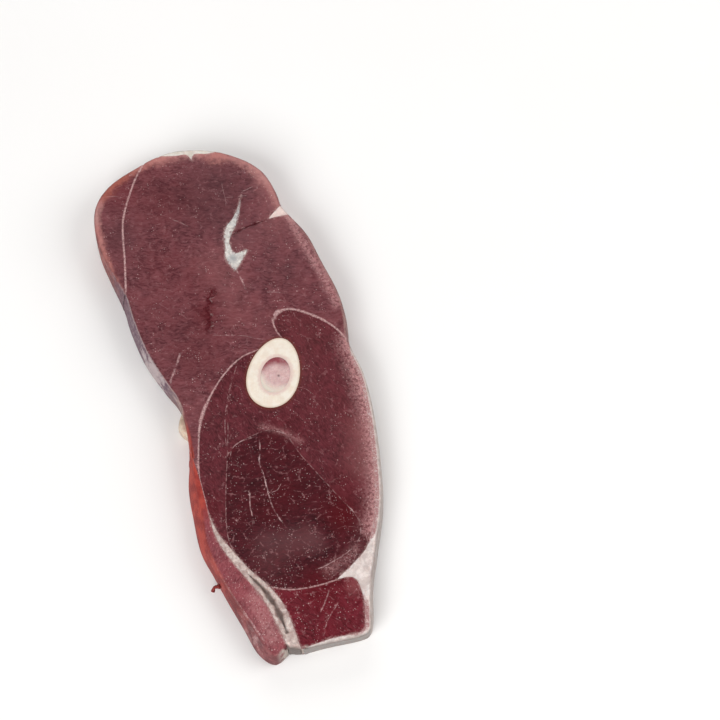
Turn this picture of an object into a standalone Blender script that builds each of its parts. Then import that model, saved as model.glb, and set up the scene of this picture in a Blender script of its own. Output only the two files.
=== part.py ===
"""Raw lamb leg chop: one slice across the leg, with the round thigh bone.

The slice lies on its cut face. +Z is up, +Y runs to the rump end and +X to the
fat edge. Every muscle, the fat between and round them, the bone and its marrow
run through the slice from face to face.
"""
import math

import bmesh
import bpy
from mathutils import Matrix, Vector

MM = 0.001

# Driving sizes, in millimetres.
LENGTH = 200.0           # rump end to shank end
THICK_FAR = 16.0         # slice thickness at the rump end
THICK_NEAR = 11.0        # slice thickness at the shank end
GAP = 0.3                # space between touching solids
SAMPLE_STEP = 1.7        # length of one facet along an outline
TIP_LIMIT = 6.0          # most half gaps that a sharp tip draws back by
SMOOTH_ANGLE = 40.0      # degrees; sharper edges stay crisp

# How far the outer side stands out at each share of the height, in leans.
SIDE_PROFILE = ((0.0, 0.8), (0.12, 1.0), (0.55, 0.75), (0.88, 0.3), (1.0, 0.0))
FLAT_PROFILE = ((0.0, 0.0), (1.0, 0.0))

# The rim of the upper face, clockwise from the rump end: across, along, how far
# the side leans out below that point, and a name where a seam meets the rim.
RIM = (
    (-2.0, 100.0, 1.0),
    (6.5, 98.0, 1.0),
    (14.0, 94.6, 1.0, "far_right"),
    (22.5, 88.0, 1.0),
    (27.5, 81.0, 1.0),
    (29.5, 72.5, 1.0),
    (29.8, 66.0, 1.0, "notch_far"),
    (31.6, 61.3, 1.0, "notch_near"),
    (35.6, 51.5, 1.0),
    (37.4, 40.0, 1.0),
    (39.4, 27.0, 1.0),
    (39.2, 17.0, 1.0),
    (37.2, 6.0, 1.0, "edge_far"),
    (38.6, -7.0, 1.0),
    (37.4, -21.5, 1.0),
    (34.2, -38.5, 1.0),
    (29.6, -55.0, 1.0),
    (22.6, -70.0, 1.0),
    (17.2, -81.5, 1.0),
    (14.0, -91.5, 1.0),
    (12.4, -96.4, 0.0),
    (8.5, -98.0, -0.7),
    (-3.0, -96.9, -0.7),
    (-12.4, -95.6, 0.0, "seam_right"),
    (-16.6, -93.6, 0.8, "seam_left"),
    (-21.6, -95.0, 1.6),
    (-23.6, -90.0, 3.6),
    (-26.3, -80.0, 3.2),
    (-29.3, -70.0, 2.6),
    (-31.6, -60.0, 2.4),
    (-32.2, -50.0, 3.8),
    (-30.6, -38.0, 4.6),
    (-29.8, -27.0, 4.0),
    (-28.0, -13.0, 1.6, "flank_far"),
    (-27.8, 1.5, 0.6),
    (-30.4, 11.5, 1.4),
    (-33.6, 24.0, 2.2),
    (-35.0, 38.0, 2.6),
    (-35.2, 48.0, 2.6, "cap_near"),
    (-38.2, 61.0, 1.4),
    (-39.6, 73.0, 1.0),
    (-37.2, 85.5, 1.0),
    (-29.0, 93.6, 1.0),
    (-14.5, 98.7, 1.0, "cap_far"),
    (-9.0, 99.7, 1.0, "far_left"),
)

# The thigh bone and its marrow, as egg shapes: centre, half the length and half
# the width, the turn of the long axis from +X in degrees, and the egg's taper.
BONE = dict(centre=(7.9, 2.8), half_length=13.5, half_width=9.4, turn=60.0, taper=0.13)
MARROW = dict(centre=(8.1, 1.8), half_length=6.9, half_width=5.3, turn=60.0, taper=0.0)
RING_FACETS = 40
BONE_FAR_FACET = 0       # where the thigh seam meets the bone
BONE_LEFT_FACET = 6      # where the strip seam meets the bone
MARROW_SINK = 0.5        # the marrow stops this far below both faces

# The seams inside the slice. A name alone is a point that is already known.
SEAMS = {
    "cap_seam": ("cap_far", (-20.5, 91.5), (-28.2, 78.0), (-32.0, 61.5), "cap_near"),
    "far_line_left": ("far_left", (-3.0, 97.9), (1.6, 97.0), (3.0, 94.2, "far_notch")),
    "far_line_right": ("far_notch", (4.6, 96.3), (8.5, 95.2), "far_right"),
    "notch_a": ("notch_far", (26.4, 63.9), (23.6, 62.0, "notch_tip")),
    "notch_b": ("notch_tip", (27.4, 61.7), "notch_near"),
    "star_left": ((16.4, 73.4, "star_top"), (11.6, 66.8), (6.6, 62.4), (5.0, 56.0),
                  (3.8, 51.0), (5.8, 45.2, "star_foot")),
    "star_right": ("star_foot", (9.6, 48.6), (12.6, 52.4), (8.0, 52.2), (7.0, 56.6),
                   (8.4, 59.6, "star_mid"), (12.8, 65.2), "star_top"),
    "fissure": ("star_mid", (14.0, 61.3), "notch_tip"),
    "tail": ("star_foot", (7.2, 38.0), (9.6, 30.0), (14.0, 23.6, "crotch")),
    "thigh_seam": ("bone_far", (13.3, 19.0), "crotch", (20.0, 25.0), (28.0, 19.8),
                   (34.0, 13.0), "edge_far"),
    "strip_seam": ("bone_left", (-3.0, 11.6, "strip_far"), (-13.0, 4.8), (-22.0, -6.0),
                   (-26.6, -18.5), (-28.6, -26.5, "strip_foot")),
    "eye_left": ("strip_far", (-11.0, -2.0), (-13.8, -12.0), (-17.0, -22.0, "eye_far"),
                 (-22.4, -38.5), (-25.0, -50.0), (-24.6, -56.2, "eye_foot")),
    "eye_right": ("eye_far", (-11.0, -18.4), (3.0, -18.2), (8.2, -30.5), (15.0, -46.0),
                  (20.4, -58.5), (20.8, -67.4, "wedge_far")),
    "flank_seam": ("flank_far", "strip_foot", (-29.2, -40.0, "fat_tip")),
    "fat_right": ("fat_tip", (-27.9, -48.0), "eye_foot", (-21.0, -64.0),
                  (-16.4, -71.6, "end_left"), (-13.4, -79.5), (-12.6, -87.5), "seam_right"),
    "fat_left": ("fat_tip", (-29.2, -49.0), (-26.6, -58.5), (-22.4, -68.5),
                 (-19.2, -78.0), (-17.8, -87.0), "seam_left"),
    "end_seam": ("end_left", (-9.5, -74.9), (-1.0, -76.3), (6.2, -76.4, "wedge_tip")),
    "edge_line": ("edge_far", (36.4, 0.5), (36.8, -10.0), (34.8, -24.5), (31.8, -39.0),
                  (27.6, -54.5), "wedge_far", (14.0, -72.4), "wedge_tip"),
    "near_line": ("wedge_tip", (10.2, -76.7), (12.9, -78.6), (13.2, -85.5), (11.4, -92.5),
                  (9.0, -96.0), (-1.5, -95.2), "seam_right"),
}

# The open groove in the seam of fat, as centre line points and half widths.
GROOVE = ((-22.6, -64.0, 0.3), (-19.6, -69.6, 0.7), (-17.2, -75.5, 0.9),
          (-15.9, -81.5, 0.85), (-15.3, -88.5, 0.3))
GROOVE_DEPTH = 5.0

# A small tab of fat that stands against the left side, below the rim.
TAB_FROM = (-28.0, -1.5)
TAB_TO = (-27.9, -10.5)
TAB_BULGE = 2.2
TAB_CLEAR = 1.4          # from the rim line out to the tab's inner face
TAB_HEIGHT = 7.0
TAB_FACETS = 10

RED_MEAT = (0.165, 0.045, 0.052)
DARK_MEAT = (0.095, 0.022, 0.027)
PALE_MEAT = (0.255, 0.085, 0.090)
FAT = (0.66, 0.56, 0.48)
BONE_WHITE = (0.78, 0.70, 0.58)
MARROW_PINK = (0.60, 0.36, 0.33)


def clear_scene():
    for item in list(bpy.data.objects):
        bpy.data.objects.remove(item, do_unlink=True)


def make_material(name, colour, roughness):
    material = bpy.data.materials.new(name)
    material.use_nodes = True
    shader = material.node_tree.nodes["Principled BSDF"]
    shader.inputs["Base Color"].default_value = (*colour, 1.0)
    shader.inputs["Roughness"].default_value = roughness
    shader.inputs["Metallic"].default_value = 0.0
    material.diffuse_color = (*colour, 1.0)
    return material


def blend_points(before, start, end, after, share):
    """A point of the smooth curve between start and end."""
    square = share * share
    cube = square * share
    return 0.5 * (2.0 * start + (end - before) * share
                  + (2.0 * before - 5.0 * start + 4.0 * end - after) * square
                  + (3.0 * start - before - 3.0 * end + after) * cube)


def sample_curve(points, closed):
    """Samples a smooth curve evenly, and says where each given point lies in it."""
    samples = []
    places = []
    count = len(points)
    for index in range(count if closed else count - 1):
        start = points[index]
        end = points[(index + 1) % count]
        before = points[index - 1] if closed or index > 0 else 2.0 * start - end
        last = index + 2 >= count and not closed
        after = 2.0 * end - start if last else points[(index + 2) % count]
        steps = max(1, round((end - start).xy.length / SAMPLE_STEP))
        places.append(len(samples))
        samples += [blend_points(before, start, end, after, step / steps)
                    for step in range(steps)]
    if not closed:
        places.append(len(samples))
        samples.append(points[-1])
    return samples, places


def left_of(direction):
    return Vector((-direction.y, direction.x))


def rim_samples():
    """The rim as (place, lean) pairs, and the index of each named point in it."""
    points = [Vector(point[:3]) for point in RIM]
    samples, places = sample_curve(points, closed=True)
    pairs = []
    for index, sample in enumerate(samples):
        ahead = samples[(index + 1) % len(samples)]
        outward = left_of((ahead - samples[index - 1]).xy.normalized())
        pairs.append((sample.xy, outward * sample.z))
    names = {point[3]: places[index] for index, point in enumerate(RIM) if len(point) > 3}
    return pairs, names


def egg_loop(centre, half_length, half_width, turn, taper):
    """A closed egg shape, anticlockwise from the far end of its long axis."""
    angle = math.radians(turn)
    along = Vector((math.cos(angle), math.sin(angle)))
    across = left_of(along)
    loop = []
    for facet in range(RING_FACETS):
        way = 2.0 * math.pi * facet / RING_FACETS
        width = half_width * (1.0 - taper * math.cos(way))
        loop.append(Vector(centre) + along * (half_length * math.cos(way))
                    + across * (width * math.sin(way)))
    return loop


class Plan:
    """Every line of the slice seen from above, and the loops made from them."""

    def __init__(self):
        self.rim, self.rim_names = rim_samples()
        self.known = {name: self.rim[index] for name, index in self.rim_names.items()}
        self.bone = [(place, Vector((0.0, 0.0))) for place in egg_loop(**BONE)]
        self.known["bone_far"] = self.bone[BONE_FAR_FACET]
        self.known["bone_left"] = self.bone[BONE_LEFT_FACET]
        self.seams = {name: self.trace_seam(points) for name, points in SEAMS.items()}

    def trace_seam(self, points):
        """A seam's samples, and the index of each named point in them."""
        places = []
        names = {}
        for index, point in enumerate(points):
            if isinstance(point, str):
                names[point] = index
                places.append(self.known[point][0])
            else:
                places.append(Vector(point[:2]))
                if len(point) > 2:
                    names[point[2]] = index
                    self.known[point[2]] = (places[-1], Vector((0.0, 0.0)))
        samples, indices = sample_curve([place.to_3d() for place in places], closed=False)
        pairs = [(sample.xy, Vector((0.0, 0.0))) for sample in samples]
        marks = {name: indices[index] for name, index in names.items()}
        for name, index in marks.items():
            pairs[index] = self.known[name]
        return pairs, marks

    def rim_part(self, start, end):
        first = self.rim_names[start]
        last = self.rim_names[end]
        if last <= first:
            last += len(self.rim)
        return [self.rim[index % len(self.rim)] for index in range(first, last + 1)]

    def seam_part(self, seam, start, end):
        pairs, marks = self.seams[seam]
        first = marks[start]
        last = marks[end]
        if first <= last:
            return pairs[first:last + 1]
        return pairs[last:first + 1][::-1]

    def loop(self, *stretches):
        """Joins stretches end to end into one clockwise loop."""
        pairs = []
        for name, start, end in stretches:
            if name == "rim":
                part = self.rim_part(start, end)
            else:
                part = self.seam_part(name, start, end)
            pairs += part[:-1]
        return pairs

    def bone_under_rump(self):
        return self.bone[BONE_FAR_FACET:BONE_LEFT_FACET]

    def bone_in_thigh(self):
        return self.bone[BONE_LEFT_FACET:] + self.bone[:BONE_FAR_FACET]


def draw_in(places, distance):
    """Moves a clockwise loop inward by a distance, less at its sharp tips."""
    moved = []
    count = len(places)
    for index, place in enumerate(places):
        arriving = (place - places[index - 1]).normalized()
        leaving = (places[(index + 1) % count] - place).normalized()
        inward = -left_of(arriving) - left_of(leaving)
        if inward.length < 1e-6:
            inward = -left_of(arriving)
        inward.normalize()
        lean = max(inward.dot(-left_of(arriving)), 1.0 / TIP_LIMIT)
        moved.append(place + inward * (distance / lean))
    return moved


def top_height(along):
    """The slice thins evenly from the rump end to the shank end."""
    share = along / LENGTH + 0.5
    return THICK_NEAR + (THICK_FAR - THICK_NEAR) * share


def ring_vertices(mesh, places, share, sink):
    """One ring of a wall, at a share of the local thickness."""
    vertices = []
    for place in places:
        low = sink
        high = top_height(place.y) - sink
        point = Vector((place.x, place.y, low + (high - low) * share))
        vertices.append(mesh.verts.new(point * MM))
    return vertices


def bridge_rings(mesh, lower, upper):
    """Triangles between two clockwise rings. The diagonal of each panel starts at
    its lower corner with the smaller X, so that neighbours split a shared wall alike."""
    for index in range(len(lower)):
        panel = [lower[index - 1], upper[index - 1], upper[index], lower[index]]
        if panel[0].co.x > panel[3].co.x:
            panel = panel[1:] + panel[:1]
        mesh.faces.new((panel[0], panel[1], panel[2]))
        mesh.faces.new((panel[0], panel[2], panel[3]))


def add_object(name, mesh, material):
    bmesh.ops.recalc_face_normals(mesh, faces=mesh.faces)
    data = bpy.data.meshes.new(name)
    mesh.to_mesh(data)
    mesh.free()
    data.materials.append(material)
    data.shade_smooth()
    data.set_sharp_from_angle(angle=math.radians(SMOOTH_ANGLE))
    item = bpy.data.objects.new(name, data)
    bpy.context.collection.objects.link(item)
    return item


def make_solid(name, pairs, material, profile=SIDE_PROFILE, sink=0.0):
    """Closes a clockwise loop into a solid from face to face."""
    mesh = bmesh.new()
    rings = []
    for share, push in profile:
        places = draw_in([place + lean * push for place, lean in pairs], GAP / 2.0)
        rings.append(ring_vertices(mesh, places, share, sink))
    for lower, upper in zip(rings, rings[1:]):
        bridge_rings(mesh, lower, upper)
    mesh.faces.new(rings[0])
    mesh.faces.new(rings[-1][::-1])
    return add_object(name, mesh, material)


def make_inner(name, pairs, material, sink=0.0):
    """A solid that has neighbours all round, so its walls stand straight."""
    return make_solid(name, pairs, material, profile=FLAT_PROFILE, sink=sink)


def make_bone(plan, material):
    """The ring of bone, open through its middle."""
    mesh = bmesh.new()
    outer = draw_in([place for place, _ in plan.bone][::-1], GAP / 2.0)
    inner = draw_in(egg_loop(**MARROW)[::-1], -GAP / 2.0)
    rings = [ring_vertices(mesh, places, share, 0.0)
             for places, share in ((outer, 0.0), (outer, 1.0), (inner, 1.0), (inner, 0.0))]
    for index, ring in enumerate(rings):
        bridge_rings(mesh, rings[index - 1], ring)
    return add_object("bone", mesh, material)


def make_marrow(material):
    pairs = [(place, Vector((0.0, 0.0))) for place in egg_loop(**MARROW)[::-1]]
    return make_inner("marrow", pairs, material, sink=MARROW_SINK)


def groove_cutter(material):
    """The space of the groove, from its floor to above the upper face."""
    points = [Vector(point) for point in GROOVE]
    middle, _ = sample_curve(points, closed=False)
    right_side = []
    left_side = []
    for index, point in enumerate(middle):
        ahead = middle[min(index + 1, len(middle) - 1)]
        back = middle[max(index - 1, 0)]
        sideways = left_of((ahead - back).xy.normalized()) * point.z
        left_side.append(point.xy + sideways)
        right_side.append(point.xy - sideways)
    loop = left_side + right_side[::-1]
    floor = top_height(middle[-1].y) - GROOVE_DEPTH
    mesh = bmesh.new()
    rings = [[mesh.verts.new(Vector((place.x, place.y, height)) * MM) for place in loop]
             for height in (floor, THICK_FAR + 1.0)]
    bridge_rings(mesh, rings[0], rings[1])
    mesh.faces.new(rings[0])
    mesh.faces.new(rings[1][::-1])
    cutter = add_object("groove_cutter", mesh, material)
    cutter.hide_render = True
    cutter.display_type = 'WIRE'
    return cutter


def make_seam_fat(plan, material):
    """The fat between the flank and the rest, with an open groove along it."""
    item = make_solid("fat_seam", plan.loop(
        ("fat_right", "fat_tip", "seam_right"), ("rim", "seam_right", "seam_left"),
        ("fat_left", "seam_left", "fat_tip")), material)
    cut = item.modifiers.new("groove", 'BOOLEAN')
    cut.operation = 'DIFFERENCE'
    cut.object = groove_cutter(material)
    return item


def make_tab(material):
    """A low bulge of fat against the left side."""
    start = Vector(TAB_FROM)
    end = Vector(TAB_TO)
    outward = -left_of((end - start).normalized())
    inner_face = [start + outward * TAB_CLEAR, end + outward * TAB_CLEAR]
    loop = []
    for facet in range(TAB_FACETS + 1):
        share = facet / TAB_FACETS
        bulge = TAB_BULGE * math.sin(math.pi * share)
        loop.append(inner_face[0].lerp(inner_face[1], share) + outward * bulge)
    mesh = bmesh.new()
    crown = [place - outward * (0.35 * TAB_BULGE * math.sin(math.pi * index / TAB_FACETS))
             for index, place in enumerate(loop)]
    rings = [[mesh.verts.new(Vector((place.x, place.y, height)) * MM) for place in places]
             for places, height in ((loop, 0.0), (loop, 0.6 * TAB_HEIGHT), (crown, TAB_HEIGHT))]
    for lower, upper in zip(rings, rings[1:]):
        bridge_rings(mesh, lower, upper)
    mesh.faces.new(rings[0])
    mesh.faces.new(rings[-1][::-1])
    return add_object("fat_tab", mesh, material)


def make_lean(plan):
    """The eight muscles that the slice cuts through."""
    red = make_material("red_meat", RED_MEAT, 0.42)
    dark = make_material("dark_meat", DARK_MEAT, 0.35)
    pale = make_material("pale_meat", PALE_MEAT, 0.45)
    make_solid("lean_cap", plan.loop(
        ("rim", "cap_near", "cap_far"), ("cap_seam", "cap_far", "cap_near")), red)
    rump = plan.loop(
        ("rim", "cap_far", "far_left"), ("far_line_left", "far_left", "far_notch"),
        ("far_line_right", "far_notch", "far_right"), ("rim", "far_right", "notch_far"),
        ("notch_a", "notch_far", "notch_tip"), ("fissure", "notch_tip", "star_mid"),
        ("star_right", "star_mid", "star_top"), ("star_left", "star_top", "star_foot"),
        ("tail", "star_foot", "crotch"), ("thigh_seam", "crotch", "bone_far"))
    rump += plan.bone_under_rump()
    rump += plan.loop(
        ("strip_seam", "bone_left", "strip_foot"), ("flank_seam", "strip_foot", "flank_far"),
        ("rim", "flank_far", "cap_near"), ("cap_seam", "cap_near", "cap_far"))
    make_solid("lean_rump", rump, red)
    make_solid("lean_side", plan.loop(
        ("rim", "notch_near", "edge_far"), ("thigh_seam", "edge_far", "crotch"),
        ("tail", "crotch", "star_foot"), ("star_right", "star_foot", "star_mid"),
        ("fissure", "star_mid", "notch_tip"), ("notch_b", "notch_tip", "notch_near")), red)
    thigh = plan.loop(
        ("thigh_seam", "bone_far", "edge_far"), ("edge_line", "edge_far", "wedge_far"),
        ("eye_right", "wedge_far", "eye_far"), ("eye_left", "eye_far", "strip_far"),
        ("strip_seam", "strip_far", "bone_left"))
    make_inner("lean_thigh", thigh + plan.bone_in_thigh(), dark)
    make_inner("lean_strip", plan.loop(
        ("strip_seam", "strip_foot", "strip_far"), ("eye_left", "strip_far", "eye_foot"),
        ("fat_right", "eye_foot", "fat_tip"), ("flank_seam", "fat_tip", "strip_foot")), dark)
    make_inner("lean_eye", plan.loop(
        ("eye_right", "eye_far", "wedge_far"), ("edge_line", "wedge_far", "wedge_tip"),
        ("end_seam", "wedge_tip", "end_left"), ("fat_right", "end_left", "eye_foot"),
        ("eye_left", "eye_foot", "eye_far")), dark)
    make_inner("lean_end", plan.loop(
        ("end_seam", "end_left", "wedge_tip"), ("near_line", "wedge_tip", "seam_right"),
        ("fat_right", "seam_right", "end_left")), red)
    make_solid("lean_flank", plan.loop(
        ("flank_seam", "flank_far", "fat_tip"), ("fat_left", "fat_tip", "seam_left"),
        ("rim", "seam_left", "flank_far")), pale)


def make_fat(plan):
    """The fat at the rim and between the muscles."""
    fat = make_material("fat", FAT, 0.5)
    make_solid("fat_far", plan.loop(
        ("rim", "far_left", "far_right"), ("far_line_right", "far_right", "far_notch"),
        ("far_line_left", "far_notch", "far_left")), fat)
    make_solid("fat_notch", plan.loop(
        ("rim", "notch_far", "notch_near"), ("notch_b", "notch_near", "notch_tip"),
        ("notch_a", "notch_tip", "notch_far")), fat)
    make_inner("fat_star", plan.loop(
        ("star_left", "star_foot", "star_top"), ("star_right", "star_top", "star_foot")), fat)
    make_solid("fat_edge", plan.loop(
        ("rim", "edge_far", "seam_right"), ("near_line", "seam_right", "wedge_tip"),
        ("edge_line", "wedge_tip", "edge_far")), fat)
    make_seam_fat(plan, fat)
    make_tab(fat)


def centre_on_origin():
    """Sets the origin under the middle of the whole slice, on its lower face."""
    shown = [item for item in bpy.data.objects if not item.hide_render]
    corners = [vertex.co for item in shown for vertex in item.data.vertices]
    middle = [(min(co[axis] for co in corners) + max(co[axis] for co in corners)) / 2.0
              for axis in range(2)]
    for item in bpy.data.objects:
        item.data.transform(Matrix.Translation((-middle[0], -middle[1], 0.0)))


def main():
    clear_scene()
    plan = Plan()
    make_lean(plan)
    make_fat(plan)
    make_bone(plan, make_material("bone", BONE_WHITE, 0.4))
    make_marrow(make_material("marrow", MARROW_PINK, 0.45))
    centre_on_origin()


main()
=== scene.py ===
import math

import bmesh
import bpy
import numpy as np
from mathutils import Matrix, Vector
from mathutils.bvhtree import BVHTree
from mathutils.geometry import delaunay_2d_cdt


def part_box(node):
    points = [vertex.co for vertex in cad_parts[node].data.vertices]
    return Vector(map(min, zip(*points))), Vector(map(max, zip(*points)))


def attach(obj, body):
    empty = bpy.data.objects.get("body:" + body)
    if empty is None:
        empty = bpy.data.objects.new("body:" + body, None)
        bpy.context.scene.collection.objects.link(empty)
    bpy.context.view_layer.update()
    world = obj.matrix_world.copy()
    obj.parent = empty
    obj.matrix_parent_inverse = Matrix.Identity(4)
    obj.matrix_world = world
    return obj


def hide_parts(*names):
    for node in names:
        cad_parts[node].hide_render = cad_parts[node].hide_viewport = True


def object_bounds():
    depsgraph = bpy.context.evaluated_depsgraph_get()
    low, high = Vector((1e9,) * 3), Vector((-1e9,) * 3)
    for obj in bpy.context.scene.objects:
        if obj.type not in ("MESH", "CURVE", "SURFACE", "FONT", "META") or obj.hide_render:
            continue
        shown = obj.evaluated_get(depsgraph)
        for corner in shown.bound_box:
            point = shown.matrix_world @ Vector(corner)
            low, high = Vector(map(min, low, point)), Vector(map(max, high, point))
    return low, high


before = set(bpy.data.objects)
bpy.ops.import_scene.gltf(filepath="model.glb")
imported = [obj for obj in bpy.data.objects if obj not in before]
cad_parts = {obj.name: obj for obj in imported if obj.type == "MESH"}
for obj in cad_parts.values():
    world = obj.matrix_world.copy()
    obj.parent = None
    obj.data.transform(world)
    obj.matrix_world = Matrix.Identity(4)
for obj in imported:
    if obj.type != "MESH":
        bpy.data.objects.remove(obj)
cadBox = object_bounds()
cadLow = np.array(cadBox[0]) * 1000.0  # plan work is in millimetres
cadHigh = np.array(cadBox[1]) * 1000.0
cadSpan = cadHigh - cadLow

farAway = 1e6  # mm, further off than anything on the chop

leanNodes = ["lean_cap", "lean_rump", "lean_side", "lean_thigh", "lean_strip", "lean_eye",
             "lean_end", "lean_flank"]
fatNodes = ["fat_far", "fat_notch", "fat_star", "fat_edge", "fat_seam"]
boneNodes = ["bone", "marrow"]
slicedNodes = leanNodes + fatNodes + boneNodes
families = {"lean": leanNodes, "fat": fatNodes, "bone": boneNodes}
family = {node: kind for kind, group in families.items() for node in group}


def ease(low, high, value):
    share = np.clip((value - low) / (high - low), 0.0, 1.0)
    return share * share * (3.0 - 2.0 * share)


def softNoise(x, y, size, seed):
    # smooth value noise from -1 to 1, one lump to each size
    table = np.random.RandomState(seed).uniform(-1.0, 1.0, (64, 64))
    u = x / size + 200.0
    v = y / size + 200.0
    iu = np.floor(u).astype(int)
    iv = np.floor(v).astype(int)
    fu = ease(0.0, 1.0, u - iu)
    fv = ease(0.0, 1.0, v - iv)
    near = table[iu % 64, iv % 64] * (1 - fu) + table[(iu + 1) % 64, iv % 64] * fu
    far = table[iu % 64, (iv + 1) % 64] * (1 - fu) + table[(iu + 1) % 64, (iv + 1) % 64] * fu
    return near * (1 - fv) + far * fv


def atShare(u, v):
    # a point of the plan, as shares of the whole chop's box
    return np.array([cadLow[0] + u * cadSpan[0], cadLow[1] + v * cadSpan[1]])


def lineField(points, line):
    # distance, side and place along an open line, for every point
    runs = np.diff(line, axis=0)
    lengths = np.hypot(runs[:, 0], runs[:, 1])
    travelled = np.concatenate([[0.0], np.cumsum(lengths)])
    best = np.full(len(points), farAway)
    side = np.ones(len(points))
    along = np.zeros(len(points))
    for start, run, length, before in zip(line[:-1], runs, lengths, travelled[:-1]):
        rel = points - start
        share = np.clip(rel @ run / max(length * length, 1e-9), 0.0, 1.0)
        gap = rel - share[:, None] * run
        distance = np.hypot(gap[:, 0], gap[:, 1])
        closer = distance < best
        best = np.where(closer, distance, best)
        turn = run[0] * rel[:, 1] - run[1] * rel[:, 0]
        side = np.where(closer, np.where(turn < 0, -1.0, 1.0), side)
        along = np.where(closer, (before + share * length) / travelled[-1], along)
    return best, side, along


def insideLoop(points, loop):
    inside = np.zeros(len(points), bool)
    x = points[:, 0]
    y = points[:, 1]
    for (ax, ay), (bx, by) in zip(loop, np.roll(loop, -1, axis=0)):
        if ay == by:
            continue
        crosses = (ay > y) != (by > y)
        inside ^= crosses & (x < (bx - ax) * (y - ay) / (by - ay) + ax)
    return inside


# the upper cut face slopes evenly from one end to the other
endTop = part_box("lean_end")[1]
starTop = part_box("fat_star")[1]
topSlope = (starTop.z - endTop.z) / (starTop.y - endTop.y)


def topHeight(y):
    # the upper cut face, in millimetres
    return endTop.z * 1000.0 + (y - endTop.y * 1000.0) * topSlope


# lengths in mm, the turn of a real corner in degrees
outlinePlan = dict(step=0.45, cornerTurn=38.0, gap=0.3, flatness=0.05, probes=(0.45, 0.8, 1.6))


def cadSolid(node):
    solid = bmesh.new()
    solid.from_mesh(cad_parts[node].data)
    bmesh.ops.remove_doubles(solid, verts=solid.verts, dist=1e-6)
    solid.normal_update()
    return solid


def topLoops(node):
    # outlines of the node's upper face, the outer one first, anticlockwise
    solid = cadSolid(node)
    rise = {vert: vert.co.z * 1000.0 - topHeight(vert.co.y * 1000.0) for vert in solid.verts}
    lowest = max(rise.values()) - outlinePlan["flatness"]
    upper = [face for face in solid.faces if all(rise[vert] > lowest for vert in face.verts)]
    known = set(upper)
    onward = {}
    for face in upper:  # in the order of the list, so that each run starts a loop at the same point
        for loop in face.loops:
            if sum(other in known for other in loop.edge.link_faces) == 1:
                onward[loop.vert] = loop.link_loop_next.vert
    loops = []
    while onward:
        vert, following = onward.popitem()
        chain = [vert]
        while following in onward:
            chain.append(following)
            following = onward.pop(following)
        loops.append(np.array([[v.co.x * 1000.0, v.co.y * 1000.0] for v in chain]))
    solid.free()
    area = [abs(np.sum(l[:, 0] * np.roll(l[:, 1], -1) - np.roll(l[:, 0], -1) * l[:, 1]))
            for l in loops]
    order = np.argsort(area)[::-1]
    return [loops[index] for index in order]


def smoothLoop(loop):
    # denser points on a smooth curve through a closed loop; real corners stay
    before = np.roll(loop, 1, axis=0)
    after = np.roll(loop, -1, axis=0)
    arriving = loop - before
    leaving = after - loop
    turn = np.degrees(np.abs(np.arctan2(
        arriving[:, 0] * leaving[:, 1] - arriving[:, 1] * leaving[:, 0],
        (arriving * leaving).sum(1))))
    corner = (turn > outlinePlan["cornerTurn"])[:, None]
    tangent = (after - before) / 2.0
    out = []
    for index in range(len(loop)):
        nextIndex = (index + 1) % len(loop)
        start, end = loop[index], loop[nextIndex]
        run = end - start
        length = np.hypot(*run)
        pull = run if corner[index] else tangent[index] / max(np.hypot(*tangent[index]), 1e-9) * length
        push = run if corner[nextIndex] else \
            tangent[nextIndex] / max(np.hypot(*tangent[nextIndex]), 1e-9) * length
        count = max(1, int(round(length / outlinePlan["step"])))
        for step in range(count):
            s = step / count
            out.append((2 * s**3 - 3 * s**2 + 1) * start + (s**3 - 2 * s**2 + s) * pull
                       + (-2 * s**3 + 3 * s**2) * end + (s**3 - s**2) * push)
    return np.array(out)


def outwardOf(loop):
    along = np.roll(loop, -1, axis=0) - np.roll(loop, 1, axis=0)
    along /= np.maximum(np.hypot(along[:, 0], along[:, 1]), 1e-9)[:, None]
    return np.stack([along[:, 1], -along[:, 0]], 1)


cadLoops = {node: topLoops(node) for node in slicedNodes}


def neighboursOf(node, loop):
    # the nearest other node to each point of a loop, or "" on the chop's rim
    best = np.full(len(loop), farAway)
    owner = np.array([""] * len(loop), dtype=object)
    covered = np.zeros(len(loop), bool)
    outward = outwardOf(loop)
    for other in slicedNodes:
        for reach in outlinePlan["probes"]:
            covered |= insideLoop(loop + outward * reach, cadLoops[other][0])
        if other == node:
            continue
        for otherLoop in cadLoops[other]:
            closed = np.vstack([otherLoop, otherLoop[:1]])
            distance = lineField(loop, closed)[0]
            closer = distance < best
            best = np.where(closer, distance, best)
            owner[closer] = other
    owner[~covered] = ""
    return owner


def makePlan(node):
    loops = []
    owners = []
    for index, cadLoop in enumerate(cadLoops[node]):
        if node == "fat_seam" and index > 0:
            continue  # the open groove is carved, not cut out
        dense = smoothLoop(cadLoop)
        owner = neighboursOf(node, dense)
        spread = np.where(owner == "", 0.0, outlinePlan["gap"] / 2.0)
        loops.append(dense + outwardOf(dense) * spread[:, None])
        owners.append(owner)
    return dict(loops=loops, owners=owners)


plans = {node: makePlan(node) for node in slicedNodes}
print("outlines read:", len(plans))


# the side of the whole chop: lengths in mm, soften and facingReach in points along the rim,
# shares of the side's height from the foot up
sideShape = dict(rimRound=1.15, footRound=0.9, reach=1.2, hold=0.15, merge=0.2, jump=9.0,
                 spacing=0.4, outside=8.0, deepest=0.9, furthest=6.0, soften=15, facingReach=6,
                 touching=0.02, wallFade=(0.75, 0.1),
                 shares=[0.0, 0.1, 0.22, 0.36, 0.5, 0.64, 0.76, 0.86, 0.94, 1.0])


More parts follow.
